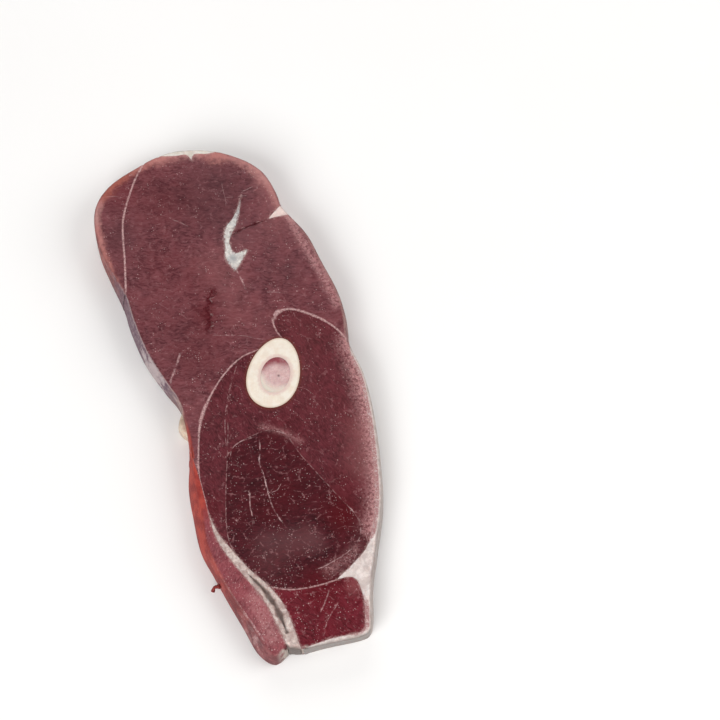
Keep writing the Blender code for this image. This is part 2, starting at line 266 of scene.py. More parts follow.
def chainPlaces(places):
    # puts loose points in order, each next to its nearest, anticlockwise round the chop
    left = np.ones(len(places), bool)
    order = [int(np.argmin(places[:, 1]))]
    left[order[0]] = False
    while left.any():
        gap = np.hypot(*(places - places[order[-1]]).T)
        left &= gap > sideShape["merge"]
        if not left.any():
            break
        following = int(np.argmin(np.where(left, gap, farAway)))
        if gap[following] > sideShape["jump"]:
            break
        left[following] = False
        order.append(following)
    chain = places[order]
    turned = np.sum(chain[:, 0] * np.roll(chain[:, 1], -1) - np.roll(chain[:, 0], -1) * chain[:, 1])
    if turned < 0:
        order = order[::-1]
    return places[order]


def denser(places):
    # fills the gaps in the rim where one node ends and the next one starts
    out = []
    for place, following in zip(places, np.roll(places, -1, axis=0)):
        count = max(1, int(np.ceil(np.hypot(*(following - place)) / sideShape["spacing"])))
        for step in range(count):
            out.append(place + (following - place) * step / count)
    return np.array(out)


def chopTree():
    # every sliced solid in one search tree
    whole = bmesh.new()
    for node in slicedNodes:
        whole.from_mesh(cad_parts[node].data)
    tree = BVHTree.FromBMesh(whole)
    whole.free()
    return tree


def makeRim():
    # every rim point in order round the chop, with how far the side stands out
    places = [loop[owner == ""] for plan in plans.values()
              for loop, owner in zip(plan["loops"], plan["owners"])]
    places = denser(chainPlaces(np.vstack(places)))
    reach = sideShape["facingReach"]
    along = np.roll(places, -reach, axis=0) - np.roll(places, reach, axis=0)
    along /= np.hypot(along[:, 0], along[:, 1])[:, None]
    outward = np.stack([along[:, 1], -along[:, 0]], 1)
    tree = chopTree()
    offsets = np.zeros((len(places), len(sideShape["shares"])))
    for index, (place, out) in enumerate(zip(places, outward)):
        high = topHeight(place[1]) - sideShape["rimRound"]
        low = sideShape["footRound"]
        start = place + out * sideShape["outside"]
        for column, share in enumerate(sideShape["shares"]):
            origin = Vector((start[0], start[1], low + (high - low) * share)) * 0.001
            spot, _, _, distance = tree.ray_cast(origin, Vector((-out[0], -out[1], 0.0)), 0.012)
            standing = sideShape["outside"] - distance * 1000.0 if spot is not None else farAway
            if standing < sideShape["furthest"]:
                offsets[index, column] = standing
            elif index:
                offsets[index, column] = offsets[index - 1, column]
    half = sideShape["soften"] // 2
    padded = np.vstack([offsets[-half:], offsets, offsets[:half]])
    kernel = np.hanning(sideShape["soften"] + 2)[1:-1]
    smooth = np.stack([np.convolve(padded[:, c], kernel / kernel.sum(), "valid")
                       for c in range(offsets.shape[1])], 1)
    return dict(places=places, outward=outward, offsets=np.maximum(smooth, -sideShape["deepest"]))


rim = makeRim()
rimTopLine = rim["places"] + rim["outward"] * rim["offsets"][:, -1:]
rimTopLine = np.vstack([rimTopLine[::2], rimTopLine[:1]])
print("rim points:", len(rim["places"]))


def nearestRim(points):
    best = np.full(len(points), farAway)
    nearest = np.zeros(len(points), int)
    for index, place in enumerate(rim["places"]):
        distance = np.hypot(points[:, 0] - place[0], points[:, 1] - place[1])
        closer = distance < best
        best = np.where(closer, distance, best)
        nearest[closer] = index
    return best, nearest


# fine threads on the cut face, at shares of the chop's box; width and depth in mm; pale
# and flat where nothing else is said. A crack is painted dark, partly the torn flesh's own
# dark red and partly painted shade in the hollow.
threads = {
    "crevice": dict(points=[(0.470, 0.702), (0.446, 0.694), (0.450, 0.686), (0.416, 0.682),
                            (0.422, 0.671), (0.396, 0.664), (0.404, 0.651), (0.390, 0.642),
                            (0.394, 0.631), (0.370, 0.625), (0.378, 0.611)],
                    width=0.8, force=0.95, depth=0.35, kind="crack"),
    "tendon": dict(points=[(0.446, 0.394), (0.436, 0.375), (0.415, 0.352), (0.417, 0.330),
                           (0.414, 0.308), (0.411, 0.284), (0.414, 0.262), (0.428, 0.240),
                           (0.443, 0.222)],
                   width=0.5, force=0.95, depth=0.08),
    "tendonFork": dict(points=[(0.479, 0.303), (0.456, 0.294), (0.425, 0.292)],
                       width=0.3, force=0.55),
    "eyeShort": dict(points=[(0.310, 0.309), (0.334, 0.305), (0.321, 0.281), (0.316, 0.259),
                             (0.305, 0.244)],
                     width=0.45, force=0.8, depth=0.05),
    "eyeArc": dict(points=[(0.470, 0.140), (0.530, 0.136), (0.593, 0.141), (0.651, 0.147),
                           (0.716, 0.161), (0.749, 0.186), (0.740, 0.213), (0.713, 0.236)],
                   width=0.38, force=0.65),
    "rumpLow": dict(points=[(0.228, 0.595), (0.199, 0.578), (0.174, 0.563), (0.153, 0.552),
                            (0.143, 0.541)],
                    width=0.85, force=0.75, depth=0.05),
    "faint": dict(points=[(0.376, 0.611), (0.431, 0.604), (0.519, 0.592), (0.567, 0.580),
                          (0.612, 0.572)],
                  width=0.3, force=0.4),
    "rumpMark": dict(points=[(0.369, 0.857), (0.402, 0.846), (0.432, 0.833)],
                     width=0.4, force=0.45),
    "starReach": dict(points=[(0.697, 0.862), (0.717, 0.872), (0.774, 0.877)],
                      width=0.35, force=0.6),
    "webTop": dict(points=[(0.632, 0.871), (0.675, 0.867), (0.744, 0.861)],
                   width=0.35, force=0.55),
    "webDown": dict(points=[(0.640, 0.905), (0.634, 0.885), (0.632, 0.868), (0.622, 0.850)],
                    width=0.25, force=0.35),
    "capCross": dict(points=[(0.110, 0.941), (0.140, 0.938), (0.180, 0.930)],
                     width=0.3, force=0.4),
    "sideCross": dict(points=[(0.676, 0.662), (0.723, 0.656), (0.768, 0.647)],
                      width=0.35, force=0.4),
    "thighMark": dict(points=[(0.530, 0.399), (0.552, 0.392), (0.578, 0.384)],
                      width=0.4, force=0.6),
    "thighVein": dict(points=[(0.640, 0.470), (0.700, 0.462), (0.742, 0.440)],
                      width=0.28, force=0.35),
    "flankRidge": dict(points=[(0.098, 0.228), (0.106, 0.187), (0.134, 0.140), (0.166, 0.098),
                               (0.204, 0.052), (0.222, 0.030)],
                       width=0.8, force=0.9, depth=-0.15),
    "stripInner": dict(points=[(0.400, 0.512), (0.358, 0.478), (0.322, 0.440), (0.296, 0.395)],
                       width=0.34, force=0.6),
    "eyeTop": dict(points=[(0.296, 0.372), (0.318, 0.390), (0.360, 0.399), (0.430, 0.400)],
                   width=0.38, force=0.6),
    "sideCorner": dict(points=[(0.676, 0.606), (0.688, 0.615), (0.706, 0.621)],
                       width=1.5, force=0.95),
    "starDash": dict(points=[(0.578, 0.722), (0.588, 0.700), (0.594, 0.678)],
                     width=0.7, force=0.85),
    "endDash": dict(points=[(0.470, 0.062), (0.500, 0.075), (0.535, 0.094)],
                    width=0.5, force=0.6),
    # the notch at the near end: its dark, on the lean and on the fat, is painted shadow
    "nearNotch": dict(points=[(0.284, 0.030), (0.300, 0.020), (0.325, 0.016), (0.350, 0.006),
                              (0.370, -0.010)],
                      width=1.1, force=0.9, depth=1.8, kind="crack"),
    "endDashLow": dict(points=[(0.455, 0.022), (0.490, 0.045), (0.560, 0.070)],
                       width=0.45, force=0.5),
}

# how plainly the seam between two muscles shows: force, width in mm
seamLooks = {
    ("lean_cap", "lean_rump"): (1.00, 0.80),
    ("lean_rump", "lean_strip"): (1.00, 0.66),
    ("lean_rump", "lean_thigh"): (0.85, 0.60),
    ("lean_rump", "lean_side"): (0.16, 0.30),
    ("lean_side", "lean_thigh"): (1.00, 0.72),
    ("lean_strip", "lean_thigh"): (0.50, 0.35),
    ("lean_eye", "lean_strip"): (0.55, 0.36),
    ("lean_eye", "lean_thigh"): (0.50, 0.36),
    ("lean_end", "lean_eye"): (0.90, 0.60),
    ("lean_flank", "lean_rump"): (0.60, 0.50),
    ("lean_flank", "lean_strip"): (0.85, 0.60),
}

# soft stains on the lean, and a few marks of painted light among them: place, radius in mm,
# lighter or darker, redder or browner
stainsAndPaintedLight = [
    (0.600, 0.885, 17.0, -0.60, -0.45), (0.360, 0.900, 12.0, -0.35, 0.30),
    (0.160, 0.955, 8.0, 0.10, 0.60), (0.060, 0.860, 6.0, 0.30, 0.10), (0.130, 0.850, 6.0, -0.15, -0.40),
    (0.840, 0.880, 9.0, 0.75, 0.10), (0.820, 0.800, 8.0, 0.35, -0.10),
    (0.430, 0.975, 7.0, 0.45, 0.15), (0.620, 0.960, 8.0, 0.30, -0.20),
    (0.360, 0.760, 15.0, 0.05, 0.10), (0.500, 0.735, 12.0, 0.30, 0.05),
    (0.380, 0.655, 5.0, -0.50, 0.50), (0.320, 0.570, 12.0, -0.20, 0.20),
    (0.480, 0.640, 9.0, 0.18, 0.20), (0.200, 0.500, 9.0, 0.15, 0.10),
    (0.620, 0.790, 7.0, 0.15, -0.55), (0.800, 0.700, 12.0, 0.02, -0.25),
    (0.880, 0.640, 8.0, 0.00, 0.10), (0.700, 0.620, 8.0, 0.10, 0.20),
    (0.800, 0.560, 9.0, 0.10, 0.25), (0.780, 0.420, 10.0, 0.05, 0.20),
    (0.900, 0.350, 7.0, 0.45, 0.15), (0.840, 0.290, 7.0, 0.40, 0.10),
    (0.500, 0.320, 12.0, -0.22, 0.10), (0.330, 0.290, 10.0, -0.20, 0.00),
    # on the next line, (0.535, 0.190) is a painted sheen: the grey patch on the eye
    (0.690, 0.215, 7.0, -0.85, 0.90), (0.535, 0.190, 5.5, 0.24, -0.60),
    (0.430, 0.200, 5.0, 0.15, -0.45), (0.345, 0.215, 4.5, 0.12, -0.45),
    (0.330, 0.175, 7.0, 0.10, -0.20), (0.500, 0.105, 8.0, -0.25, 0.70),
    (0.640, 0.088, 3.2, 0.55, 0.30), (0.450, 0.060, 9.0, -0.10, 0.05),
    (0.170, 0.140, 9.0, -0.05, 0.00), (0.250, 0.060, 6.0, 0.20, 0.00),
    (0.560, 0.400, 7.0, 0.0, 0.30), (0.505, 0.283, 6.0, -0.35, 0.30), (0.396, 0.259, 5.0, -0.25, 0.30),
    (0.745, 0.271, 6.0, -0.05, 0.40), (0.380, 0.720, 7.0, -0.10, 0.25), (0.250, 0.780, 9.0, -0.15, 0.20),
    (0.200, 0.680, 10.0, -0.15, 0.10), (0.700, 0.500, 6.0, 0.12, 0.10), (0.300, 0.110, 4.0, 0.10, 0.10),
    (0.160, 0.300, 5.0, 0.0, 0.50), (0.790, 0.665, 8.0, -0.32, 0.0), (0.270, 0.600, 9.0, -0.30, 0.0),
    # (0.582, 0.746) on the next line is painted shade on the star's grey blob
    (0.582, 0.746, 2.2, -1.0, 0.0), (0.100, 0.860, 6.0, -0.70, -0.20), (0.090, 0.780, 5.0, -0.25, -0.20),
    # on the next two lines, (0.098, 0.115), (0.124, 0.065), (0.155, 0.015) are painted shadow on the
    # flank's near side
    (0.700, 0.700, 6.0, -0.15, 0.0), (0.098, 0.115, 3.2, -0.50, 0.40), (0.124, 0.065, 3.2, -0.60, 0.40),
    (0.155, 0.015, 3.6, -0.80, 0.40), (0.400, 0.350, 6.0, 0.10, 0.0),
]

# zones of the left side, in shares along the box: where each starts, is full, fades and
# ends; the pale near end starts and is full; waver moves them all in and out
sideZones = dict(silver=(0.48, 0.56, 0.69, 0.86), raw=(0.02, 0.30, 0.43, 0.49),
                 whiteSkin=(0.54, 0.575, 0.60, 0.65), near=(0.075, 0.045), waver=0.022)


def zoneShare(name, v):
    start, full, fading, gone = sideZones[name]
    return ease(start, full, v) * ease(gone, fading, v)


def zoneFields(node, coords, wall, nearest):
    u = (coords[:, 0] - cadLow[0]) / cadSpan[0]
    v = (coords[:, 1] - cadLow[1]) / cadSpan[1]
    v = v + sideZones["waver"] * softNoise(coords[:, 1], coords[:, 2] * 1.5, 3.5, 41)
    left = wall * ease(0.1, 0.6, -rim["outward"][nearest][:, 0])
    towardsNear = -rim["outward"][nearest][:, 1]
    near = wall * ease(0.5, 0.85, towardsNear) * ease(0.235, 0.275, u) * ease(*sideZones["near"], v)
    raw = left * zoneShare("raw", v)
    if node == "lean_flank":
        # its thin far end is raw on the cut face too
        _, _, fading, gone = sideZones["raw"]
        raw = np.maximum(raw, ease(0.25, 0.31, v) * ease(gone, fading, v))
    # the last field marks walls facing the near end, for the painted shadow on the fat there
    return dict(whiteSkin=left * zoneShare("whiteSkin", v), silver=left * zoneShare("silver", v),
                raw=raw, near=near, nearShadeMask=wall * ease(0.25, 0.8, towardsNear))


# pink borders, patchy, where the painted glints crowd thicker: line, reach in mm, strength
fringes = [
    ([(0.960, 0.520), (0.955, 0.430), (0.937, 0.344), (0.890, 0.262), (0.840, 0.205), (0.800, 0.178)],
     3.8, 1.0),
    ([(0.560, 0.128), (0.640, 0.135), (0.700, 0.150)], 2.0, 0.35),
    ([(0.220, 0.120), (0.240, 0.070), (0.250, 0.045)], 2.8, 0.5),
    ([(0.890, 0.790), (0.905, 0.744), (0.945, 0.674), (0.965, 0.600)], 1.7, 0.7),
    ([(0.475, 0.415), (0.560, 0.392), (0.613, 0.367)], 1.2, 0.35),
    ([(0.720, 0.095), (0.675, 0.040), (0.640, 0.000), (0.540, -0.005), (0.320, 0.000)], 1.6, 0.8),
]


def fringeField(points):
    fringe = np.zeros(len(points))
    for line, reach, strength in fringes:
        distance = lineField(points, np.array([atShare(u, v) for u, v in line]))[0]
        fringe = np.maximum(fringe, strength * np.exp(-(distance / reach) ** 2))
    return fringe


# the outer edge of the cut face: place, how pale, width in mm, and its tint, from cream (-1)
# over pink (0) to orange (1)
edgeLooks = [
    (0.024, 0.860, 0.95, 3.4, 0.10), (0.044, 0.915, 0.95, 3.2, -0.20), (0.112, 0.959, 0.65, 4.2, 0.75),
    (0.194, 0.989, 0.70, 3.2, 0.80), (0.283, 1.000, 0.88, 3.0, 0.25), (0.408, 1.004, 0.92, 5.0, 0.10),
    (0.547, 0.992, 0.92, 5.2, -0.15), (0.654, 0.971, 0.92, 6.4, 0.15), (0.756, 0.942, 0.85, 4.0, -0.05),
    (0.832, 0.898, 0.85, 5.0, -0.10), (0.859, 0.849, 0.70, 3.4, -0.05), (0.901, 0.744, 0.50, 1.3, -0.40),
    (0.943, 0.674, 0.55, 1.4, -0.40), (0.969, 0.585, 0.60, 1.2, -0.60), (0.960, 0.513, 0.65, 1.1, -0.60),
    (0.952, 0.432, 0.50, 1.6, -0.20), (0.937, 0.344, 0.45, 2.2, -0.10), (0.890, 0.252, 0.45, 2.2, -0.10),
    (0.825, 0.183, 0.40, 1.4, -0.20), (0.688, 0.052, 0.35, 0.8, -0.30), (0.640, 0.000, 0.50, 0.8, -0.60),
    (0.450, -0.010, 0.45, 0.7, -0.60), (0.300, 0.000, 0.50, 0.8, -0.60), (0.200, 0.030, 0.30, 0.9, 0.00),
    (0.110, 0.160, 0.25, 0.9, 0.10), (0.100, 0.300, 0.30, 0.8, 0.50), (0.142, 0.390, 0.45, 0.7, 0.70),
    (0.146, 0.448, 0.50, 0.7, 0.50), (0.142, 0.509, 0.75, 0.6, -0.90), (0.110, 0.564, 0.80, 0.6, -0.95),
    (0.070, 0.641, 0.75, 0.55, -0.95), (0.056, 0.727, 0.35, 0.7, -0.40), (0.038, 0.772, 0.55, 1.3, 0.25),
    (0.012, 0.819, 0.85, 2.6, 0.30),
]
edgeReach = 4.0  # how far along the rim one entry spreads, in mm


def edgeFields(nearest):
    places = rim["places"][nearest]
    weights = np.stack([1.0 / (((places - atShare(u, v)) ** 2).sum(1) + edgeReach ** 2) ** 2
                        for u, v, force, width, tint in edgeLooks], 1)
    weights /= weights.sum(1)[:, None]
    force, width, tint = (weights @ np.array([look[column] for look in edgeLooks])
                          for column in (2, 3, 4))
    return dict(edgeForce=force, edgeWidth=width, edgeTint=tint)


# where a seam between muscles swells into a wider band: place, reach and extra width in mm
seamSwells = [
    (0.245, 0.470, 6.0, 0.80), (0.690, 0.615, 3.0, 1.1), (0.840, 0.600, 8.0, 0.35),
    (0.070, 0.930, 6.0, 0.2),
]


def swellField(points):
    extra = np.zeros(len(points))
    for u, v, reach, width in seamSwells:
        extra += width * np.exp(-(((points - atShare(u, v)) / reach) ** 2).sum(1))
    return extra


def stainAndPaintedLightFields(points):
    tone = np.zeros(len(points))
    warm = np.zeros(len(points))
    for u, v, radius, light, red in stainsAndPaintedLight:
        centre = atShare(u, v)
        near = np.exp(-(((points - centre) / radius) ** 2).sum(1))
        tone += light * near
        warm += red * near
    return tone, warm


farWidths = 9.0  # a thread this many widths away doesn't show


def threadFields(points):
    # signed distance to the nearest pale thread and to the crack, with how strong each is
    fields = {kind: [np.full(len(points), farWidths), np.zeros(len(points)),
                     np.full(len(points), farWidths)] for kind in ("pale", "crack")}
    carve = np.zeros(len(points))
    for thread in threads.values():
        line = smoothLine(np.array([atShare(u, v) for u, v in thread["points"]]))
        picked = ((points > line.min(0) - 3.0) & (points < line.max(0) + 3.0)).all(1)
        if not picked.any():
            continue
        distance, side, along = lineField(points[picked], line)
        fade = ease(-0.02, 0.12, along) * ease(1.02, 0.85, along)
        beyond = ease(2.6, 1.2, distance)
        signed, force, nearest = fields[thread.get("kind", "pale")]
        scaled = distance / thread["width"]
        closer = scaled < nearest[picked]
        where = np.flatnonzero(picked)[closer]
        signed[where] = (distance * side / thread["width"])[closer]
        force[where] = (thread["force"] * fade * beyond)[closer]
        nearest[where] = scaled[closer]
        depth = thread.get("depth", 0.0)
        carve[picked] += depth * np.exp(-(distance / (thread["width"] * 0.75)) ** 2) * fade
    return fields["pale"][0], fields["pale"][1], fields["crack"][0], fields["crack"][1], carve


def smoothLine(line):
    # a denser open curve through a few points
    ends = np.vstack([2 * line[0] - line[1], line, 2 * line[-1] - line[-2]])
    out = []
    for index in range(1, len(ends) - 2):
        before, start, end, after = ends[index - 1:index + 3]
        for step in range(6):
            s = step / 6.0
            out.append(0.5 * (2 * start + (end - before) * s
                              + (2 * before - 5 * start + 4 * end - after) * s * s
                              + (3 * start - before - 3 * end + after) * s**3))
    out.append(line[-1])
    return np.array(out)


# relief of the cut faces, in mm
cutFace = dict(crownReach=2.6, waveSize=17.0, dimpleSize=2.4, grainSize=0.9,
               fissure=0.6, fissureWidth=0.34, fissureForce=0.85, fissureStart=4.0,
               grooveDepth=1.4, grooveWall=0.5, grooveSpread=0.32, grooveWaver=0.5)
# how far each family lies under the cut plane, and how uneven it is, in mm
reliefs = {
    "lean": dict(sink=0.46, crown=0.24, wave=0.12, dimple=0.075, grain=0.045),
    "fat": dict(sink=0.40, crown=0.10, wave=0.12, dimple=0.10, grain=0.03),
    "bone": dict(sink=0.20, crown=0.0, wave=0.02, dimple=0.015, grain=0.01),
    "marrow": dict(sink=0.42, crown=-0.12, wave=0.05, dimple=0.10, grain=0.03),
}
grooveLoop = cadLoops["fat_seam"][1]
starMiddle = (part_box("fat_star")[0].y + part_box("fat_star")[1].y) * 500.0


def grooveCarve(points):
    carve = np.zeros(len(points))
    low = grooveLoop.min(0) - 1.0
    high = grooveLoop.max(0) + 1.0
    picked = ((points > low) & (points < high)).all(1)
    if picked.any():
        near = points[picked]
        inside = insideLoop(near, grooveLoop)
        distance = lineField(near, np.vstack([grooveLoop, grooveLoop[:1]]))[0]
        waver = cutFace["grooveWaver"] * softNoise(near[:, 0], near[:, 1], 1.7, 31)
        within = np.where(inside, distance, -distance) + cutFace["grooveSpread"] + waver
        within = np.maximum(within, 0.0)
        carve[picked] = cutFace["grooveDepth"] * (1 - np.exp(-(within / cutFace["grooveWall"]) ** 1.5))
    return carve


def roundOff(distance, radius):
    share = np.clip(1.0 - distance / radius, 0.0, 1.0)
    return radius * (1.0 - np.sqrt(1.0 - share * share))


def upperFace(node, plan, fields):
    x, y = plan[:, 0], plan[:, 1]
    relief = reliefs["marrow" if node == "marrow" else family[node]]
    height = topHeight(y) - relief["sink"]
    height += relief["crown"] * (1 - np.exp(-fields["seam"] / cutFace["crownReach"]))
    height += relief["wave"] * softNoise(x, y, cutFace["waveSize"], 3)
    height += relief["dimple"] * softNoise(x * 0.8, y * 1.3, cutFace["dimpleSize"], 5)
    height += relief["grain"] * softNoise(x * 0.6, y * 1.5, cutFace["grainSize"], 7)
    height -= fields["carve"]
    height -= roundOff(fields["rimGap"], sideShape["rimRound"])
    return height


def lowerFace(plan, fields):
    x, y = plan[:, 0], plan[:, 1]
    height = 0.05 + 0.05 * softNoise(x, y, cutFace["dimpleSize"], 11)
    return np.maximum(height + roundOff(fields["rimGap"], sideShape["footRound"]), 0.0)


# sizes of the triangles and how far in the rows beside an outline lie, in mm; rowRise in
# sides of a triangle, sharp in degrees
mesher = dict(fine=0.52, finer=0.36, coarse=1.6, edgeRows=[0.12, 0.32, 0.62], rowRise=0.866,
              sharp=55.0)
farGap = 30.0  # mm, for a point with no such border near it


def addObject(name, data):
    made = bpy.data.objects.new(name, data)
    bpy.context.collection.objects.link(made)
    return made


def addFields(mesh, fields):
    # one value for each point, or one for all of them, for the materials to read
    for key, values in fields.items():
        spread = np.full(len(mesh.vertices), values, np.float32)
        mesh.attributes.new(key, "FLOAT", "POINT").data.foreach_set("value", spread)


def hexPoints(loops, spacing, clear):
    low = loops[0].min(0)
    high = loops[0].max(0)
    rise = spacing * mesher["rowRise"]
    rows = int((high[1] - low[1]) / rise) + 1
    columns = int((high[0] - low[0]) / spacing) + 1
    row, column = np.mgrid[0:rows, 0:columns]
    points = np.stack([(low[0] + (column + 0.5 * (row % 2)) * spacing).ravel(),
                       (low[1] + row * spacing * mesher["rowRise"]).ravel()], 1)
    points = points[insideLoop(points, loops[0])]
    for hole in loops[1:]:
        points = points[~insideLoop(points, hole)]
    gap = np.full(len(points), farAway)
    for loop in loops:
        thin = np.vstack([loop[::2], loop[:1]])
        gap = np.minimum(gap, lineField(points, thin)[0])
    return points[gap > clear]


def edgeRows(loops, spacing):
    # rows of points just inside the outline, for the rounded rim and the seams
    rows = []
    for loop in loops:
        outward = outwardOf(loop) * (1 if loop is loops[0] else -1)
        thin = np.vstack([loop, loop[:1]])
        for number, inset in enumerate(mesher["edgeRows"]):
            if inset > spacing:
                continue
            row = (loop - outward * inset)[number % 2::2 if number else 1]
            keep = lineField(row, thin)[0] > inset * 0.9
            rows.append(row[keep])
    points = np.vstack(rows)
    keep = insideLoop(points, loops[0])
    for hole in loops[1:]:
        keep &= ~insideLoop(points, hole)
    return points[keep]


def fillCap(loops, spacing, rows):
    # triangles over an outline; the outline's own points come first
    border = np.vstack(loops)
    inner = [hexPoints(loops, spacing, max(0.45 * spacing, 0.75 if rows else 0.3))]
    if rows:
        inner.append(edgeRows(loops, spacing))
    points = np.vstack([border] + inner)
    edges = []
    first = 0
    for loop in loops:
        count = len(loop)
        edges += [(first + i, first + (i + 1) % count) for i in range(count)]
        first += count
    verts, _, faces, origin, _, _ = delaunay_2d_cdt(
        [Vector(p) for p in points], edges, [], 0, 1e-7)
    index = [o[0] if o else -1 for o in origin]
    extra = [Vector(v) for v, o in zip(verts, origin) if not o]
    count = len(points)
    for position, value in enumerate(index):
        if value < 0:
            index[position] = count
            count += 1
    if extra:
        points = np.vstack([points, np.array([[v.x, v.y] for v in extra])])
    triangles = np.array([[index[i] for i in face] for face in faces])
    centres = points[triangles].mean(1)
    keep = insideLoop(centres, loops[0])
    for hole in loops[1:]:
        keep &= ~insideLoop(centres, hole)
    return points, triangles[keep]


def planFields(node, plan):
    # everything the relief and the materials need to know about each plan point
    seam = np.full(len(plan), farGap)
    fatGap = np.full(len(plan), farGap)
    boneGap = np.full(len(plan), farGap)
    force = np.zeros(len(plan))
    width = np.full(len(plan), 0.3)
    for loop, owner in zip(plans[node]["loops"], plans[node]["owners"]):
        for name in sorted(set(owner) - {""}):
            chosen = owner == name
            starts = np.flatnonzero(chosen & ~np.roll(chosen, 1))
            if chosen.all():
                starts = [0]
            for start in starts:
                stretch = [start]
                while chosen[(stretch[-1] + 1) % len(loop)] and len(stretch) <= len(loop):
                    stretch.append((stretch[-1] + 1) % len(loop))
                if len(stretch) < 2:
                    continue
                distance = lineField(plan, loop[stretch])[0]
                if family[name] == family[node]:
                    look = seamLooks.get(tuple(sorted((node, name))), (0.5, 0.3))
                    closer = distance < seam
                    force = np.where(closer, look[0], force)
                    width = np.where(closer, look[1], width)
                    seam = np.minimum(seam, distance)
                elif family[name] == "bone" and family[node] == "lean":
                    boneGap = np.minimum(boneGap, distance)
                else:
                    fatGap = np.minimum(fatGap, distance)
    width += swellField(plan)
    rimGap = lineField(plan, rimTopLine)[0]
    onRim = insideLoop(plan, rimTopLine[:-1])
    rimGap = np.where(onRim, rimGap, 0.0)
    tone, warm = stainAndPaintedLightFields(plan)
    thread, threadForce, crack, crackForce, carve = threadFields(plan)
    fields = dict(seam=seam, seamForce=force, seamWidth=width, fatGap=fatGap, boneGap=boneGap,
                  rimGap=rimGap, tone=tone, warm=warm, fringe=fringeField(plan), thread=thread,
                  threadForce=threadForce, crack=crack, crackForce=crackForce, carve=carve)
    if node in ("lean_rump", "lean_side"):
        # the open fissure, on the far half of the seam between these two
        other = "lean_side" if node == "lean_rump" else "lean_rump"
        line = plans[node]["loops"][0][plans[node]["owners"][0] == other]
        line = line[line[:, 1] > starMiddle - cutFace["fissureStart"]]
        line = line[np.argsort(line[:, 0])]
        distance, _, along = lineField(plan, line)
        fade = ease(-0.01, 0.06, along) * ease(1.0, 0.75, along)
        fissure = fade * np.exp(-(distance / cutFace["fissureWidth"]) ** 2)
        fields["carve"] = np.maximum(carve, cutFace["fissure"] * fissure)
        widths = distance / cutFace["fissureWidth"]
        nearer = widths < np.abs(crack)
        fields["crack"] = np.where(nearer, widths, crack)
        force = cutFace["fissureForce"] * fade * ease(2.5, 1.2, distance)
        fields["crackForce"] = np.where(nearer, force, crackForce)
    if node == "fat_seam":
        fields["carve"] = np.maximum(carve, grooveCarve(plan))
    return fields


def splitRing(ring, starts):
    return [ring[first:last] for first, last in zip(starts[:-1], starts[1:])]


def buildSlice(name, node, spacing):
    # one node's final mesh: upper face, side, lower face, all from its outline
    loops = plans[node]["loops"]
    starts = np.cumsum([0] + [len(loop) for loop in loops])
    border = np.vstack(loops)
    gap, nearest = nearestRim(border)
    follow = ease(sideShape["reach"], sideShape["hold"], gap)[:, None]
    onRim = bool((np.concatenate(plans[node]["owners"]) == "").any())
    shares = sideShape["shares"] if onRim else [0.0, 1.0]
    columns = range(len(shares)) if onRim else [0, len(sideShape["shares"]) - 1]
    rings = [border + rim["outward"][nearest] * rim["offsets"][nearest][:, [c]] * follow
             for c in columns]
    upper, upperFaces = fillCap(splitRing(rings[-1], starts), spacing, True)
    lower, lowerFaces = fillCap(splitRing(rings[0], starts), mesher["coarse"], False)

    upperPlan = upper.copy()
    upperPlan[:len(border)] = border
    lowerPlan = lower.copy()
    lowerPlan[:len(border)] = border
    upperFields = planFields(node, upperPlan)
    lowerFields = planFields(node, lowerPlan)
    rimShare = np.where(gap < sideShape["touching"], 1.0, 0.0)
    upperFields["rimGap"][:len(border)] *= 1.0 - rimShare
    lowerFields["rimGap"][:len(border)] *= 1.0 - rimShare
    upperZ = upperFace(node, upperPlan, upperFields)
    lowerZ = lowerFace(lowerPlan, lowerFields)

    count = len(border)
    coords = [np.column_stack([upper, upperZ]), np.column_stack([lower, lowerZ])]
    fieldSets = [upperFields, lowerFields]
    wall = [np.zeros(len(upper)), np.zeros(len(lower))]
    faces = [tuple(t) for t in upperFaces]
    base = len(upper)
    faces += [(base + c, base + b, base + a) for a, b, c in lowerFaces]
    ringIndex = [np.arange(count) + base]
    offset = len(upper) + len(lower)
    sideFields = {key: value[:count] for key, value in upperFields.items()}
    for share, ring in zip(shares[1:-1], rings[1:-1]):
        z = lowerZ[:count] + (upperZ[:count] - lowerZ[:count]) * share
        coords.append(np.column_stack([ring, z]))
        fieldSets.append(sideFields)
        wall.append(np.ones(count))
        ringIndex.append(np.arange(count) + offset)
        offset += count
    ringIndex.append(np.arange(count))
    for below, above in zip(ringIndex, ringIndex[1:]):
        for a, b in zip(starts[:-1], starts[1:]):
            for i in range(a, b):
                j = i + 1 if i + 1 < b else a
                faces.append((below[i], below[j], above[j], above[i]))
    coords = np.vstack(coords)
    mesh = bpy.data.meshes.new(name)
    mesh.from_pydata((coords * 0.001).tolist(), [], [tuple(int(i) for i in f) for f in faces])
    mesh.update()
    known = {key: np.concatenate([fields[key] for fields in fieldSets]) for key in sideFields}
    wallShare = np.maximum(np.concatenate(wall), ease(*sideShape["wallFade"], known["rimGap"]))
    _, besideRim = nearestRim(coords[:, :2])
    addFields(mesh, known)
    addFields(mesh, zoneFields(node, coords, wallShare, besideRim))
    addFields(mesh, dict(wall=wallShare, **edgeFields(besideRim)))
    mesh.shade_smooth()
    mesh.set_sharp_from_angle(angle=math.radians(mesher["sharp"]))
    piece = addObject(name, mesh)
    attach(piece, "root")
    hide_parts(node)
    print("built", name, len(mesh.vertices), "vertices")
    return piece


def hexTint(code):
    # "#rrggbb" as the linear colour that Blender's sockets take
    parts = [int(code[i:i + 2], 16) / 255.0 for i in (1, 3, 5)]
    return tuple(p / 12.92 if p <= 0.04045 else ((p + 0.055) / 1.055) ** 2.4 for p in parts) + (1.0,)


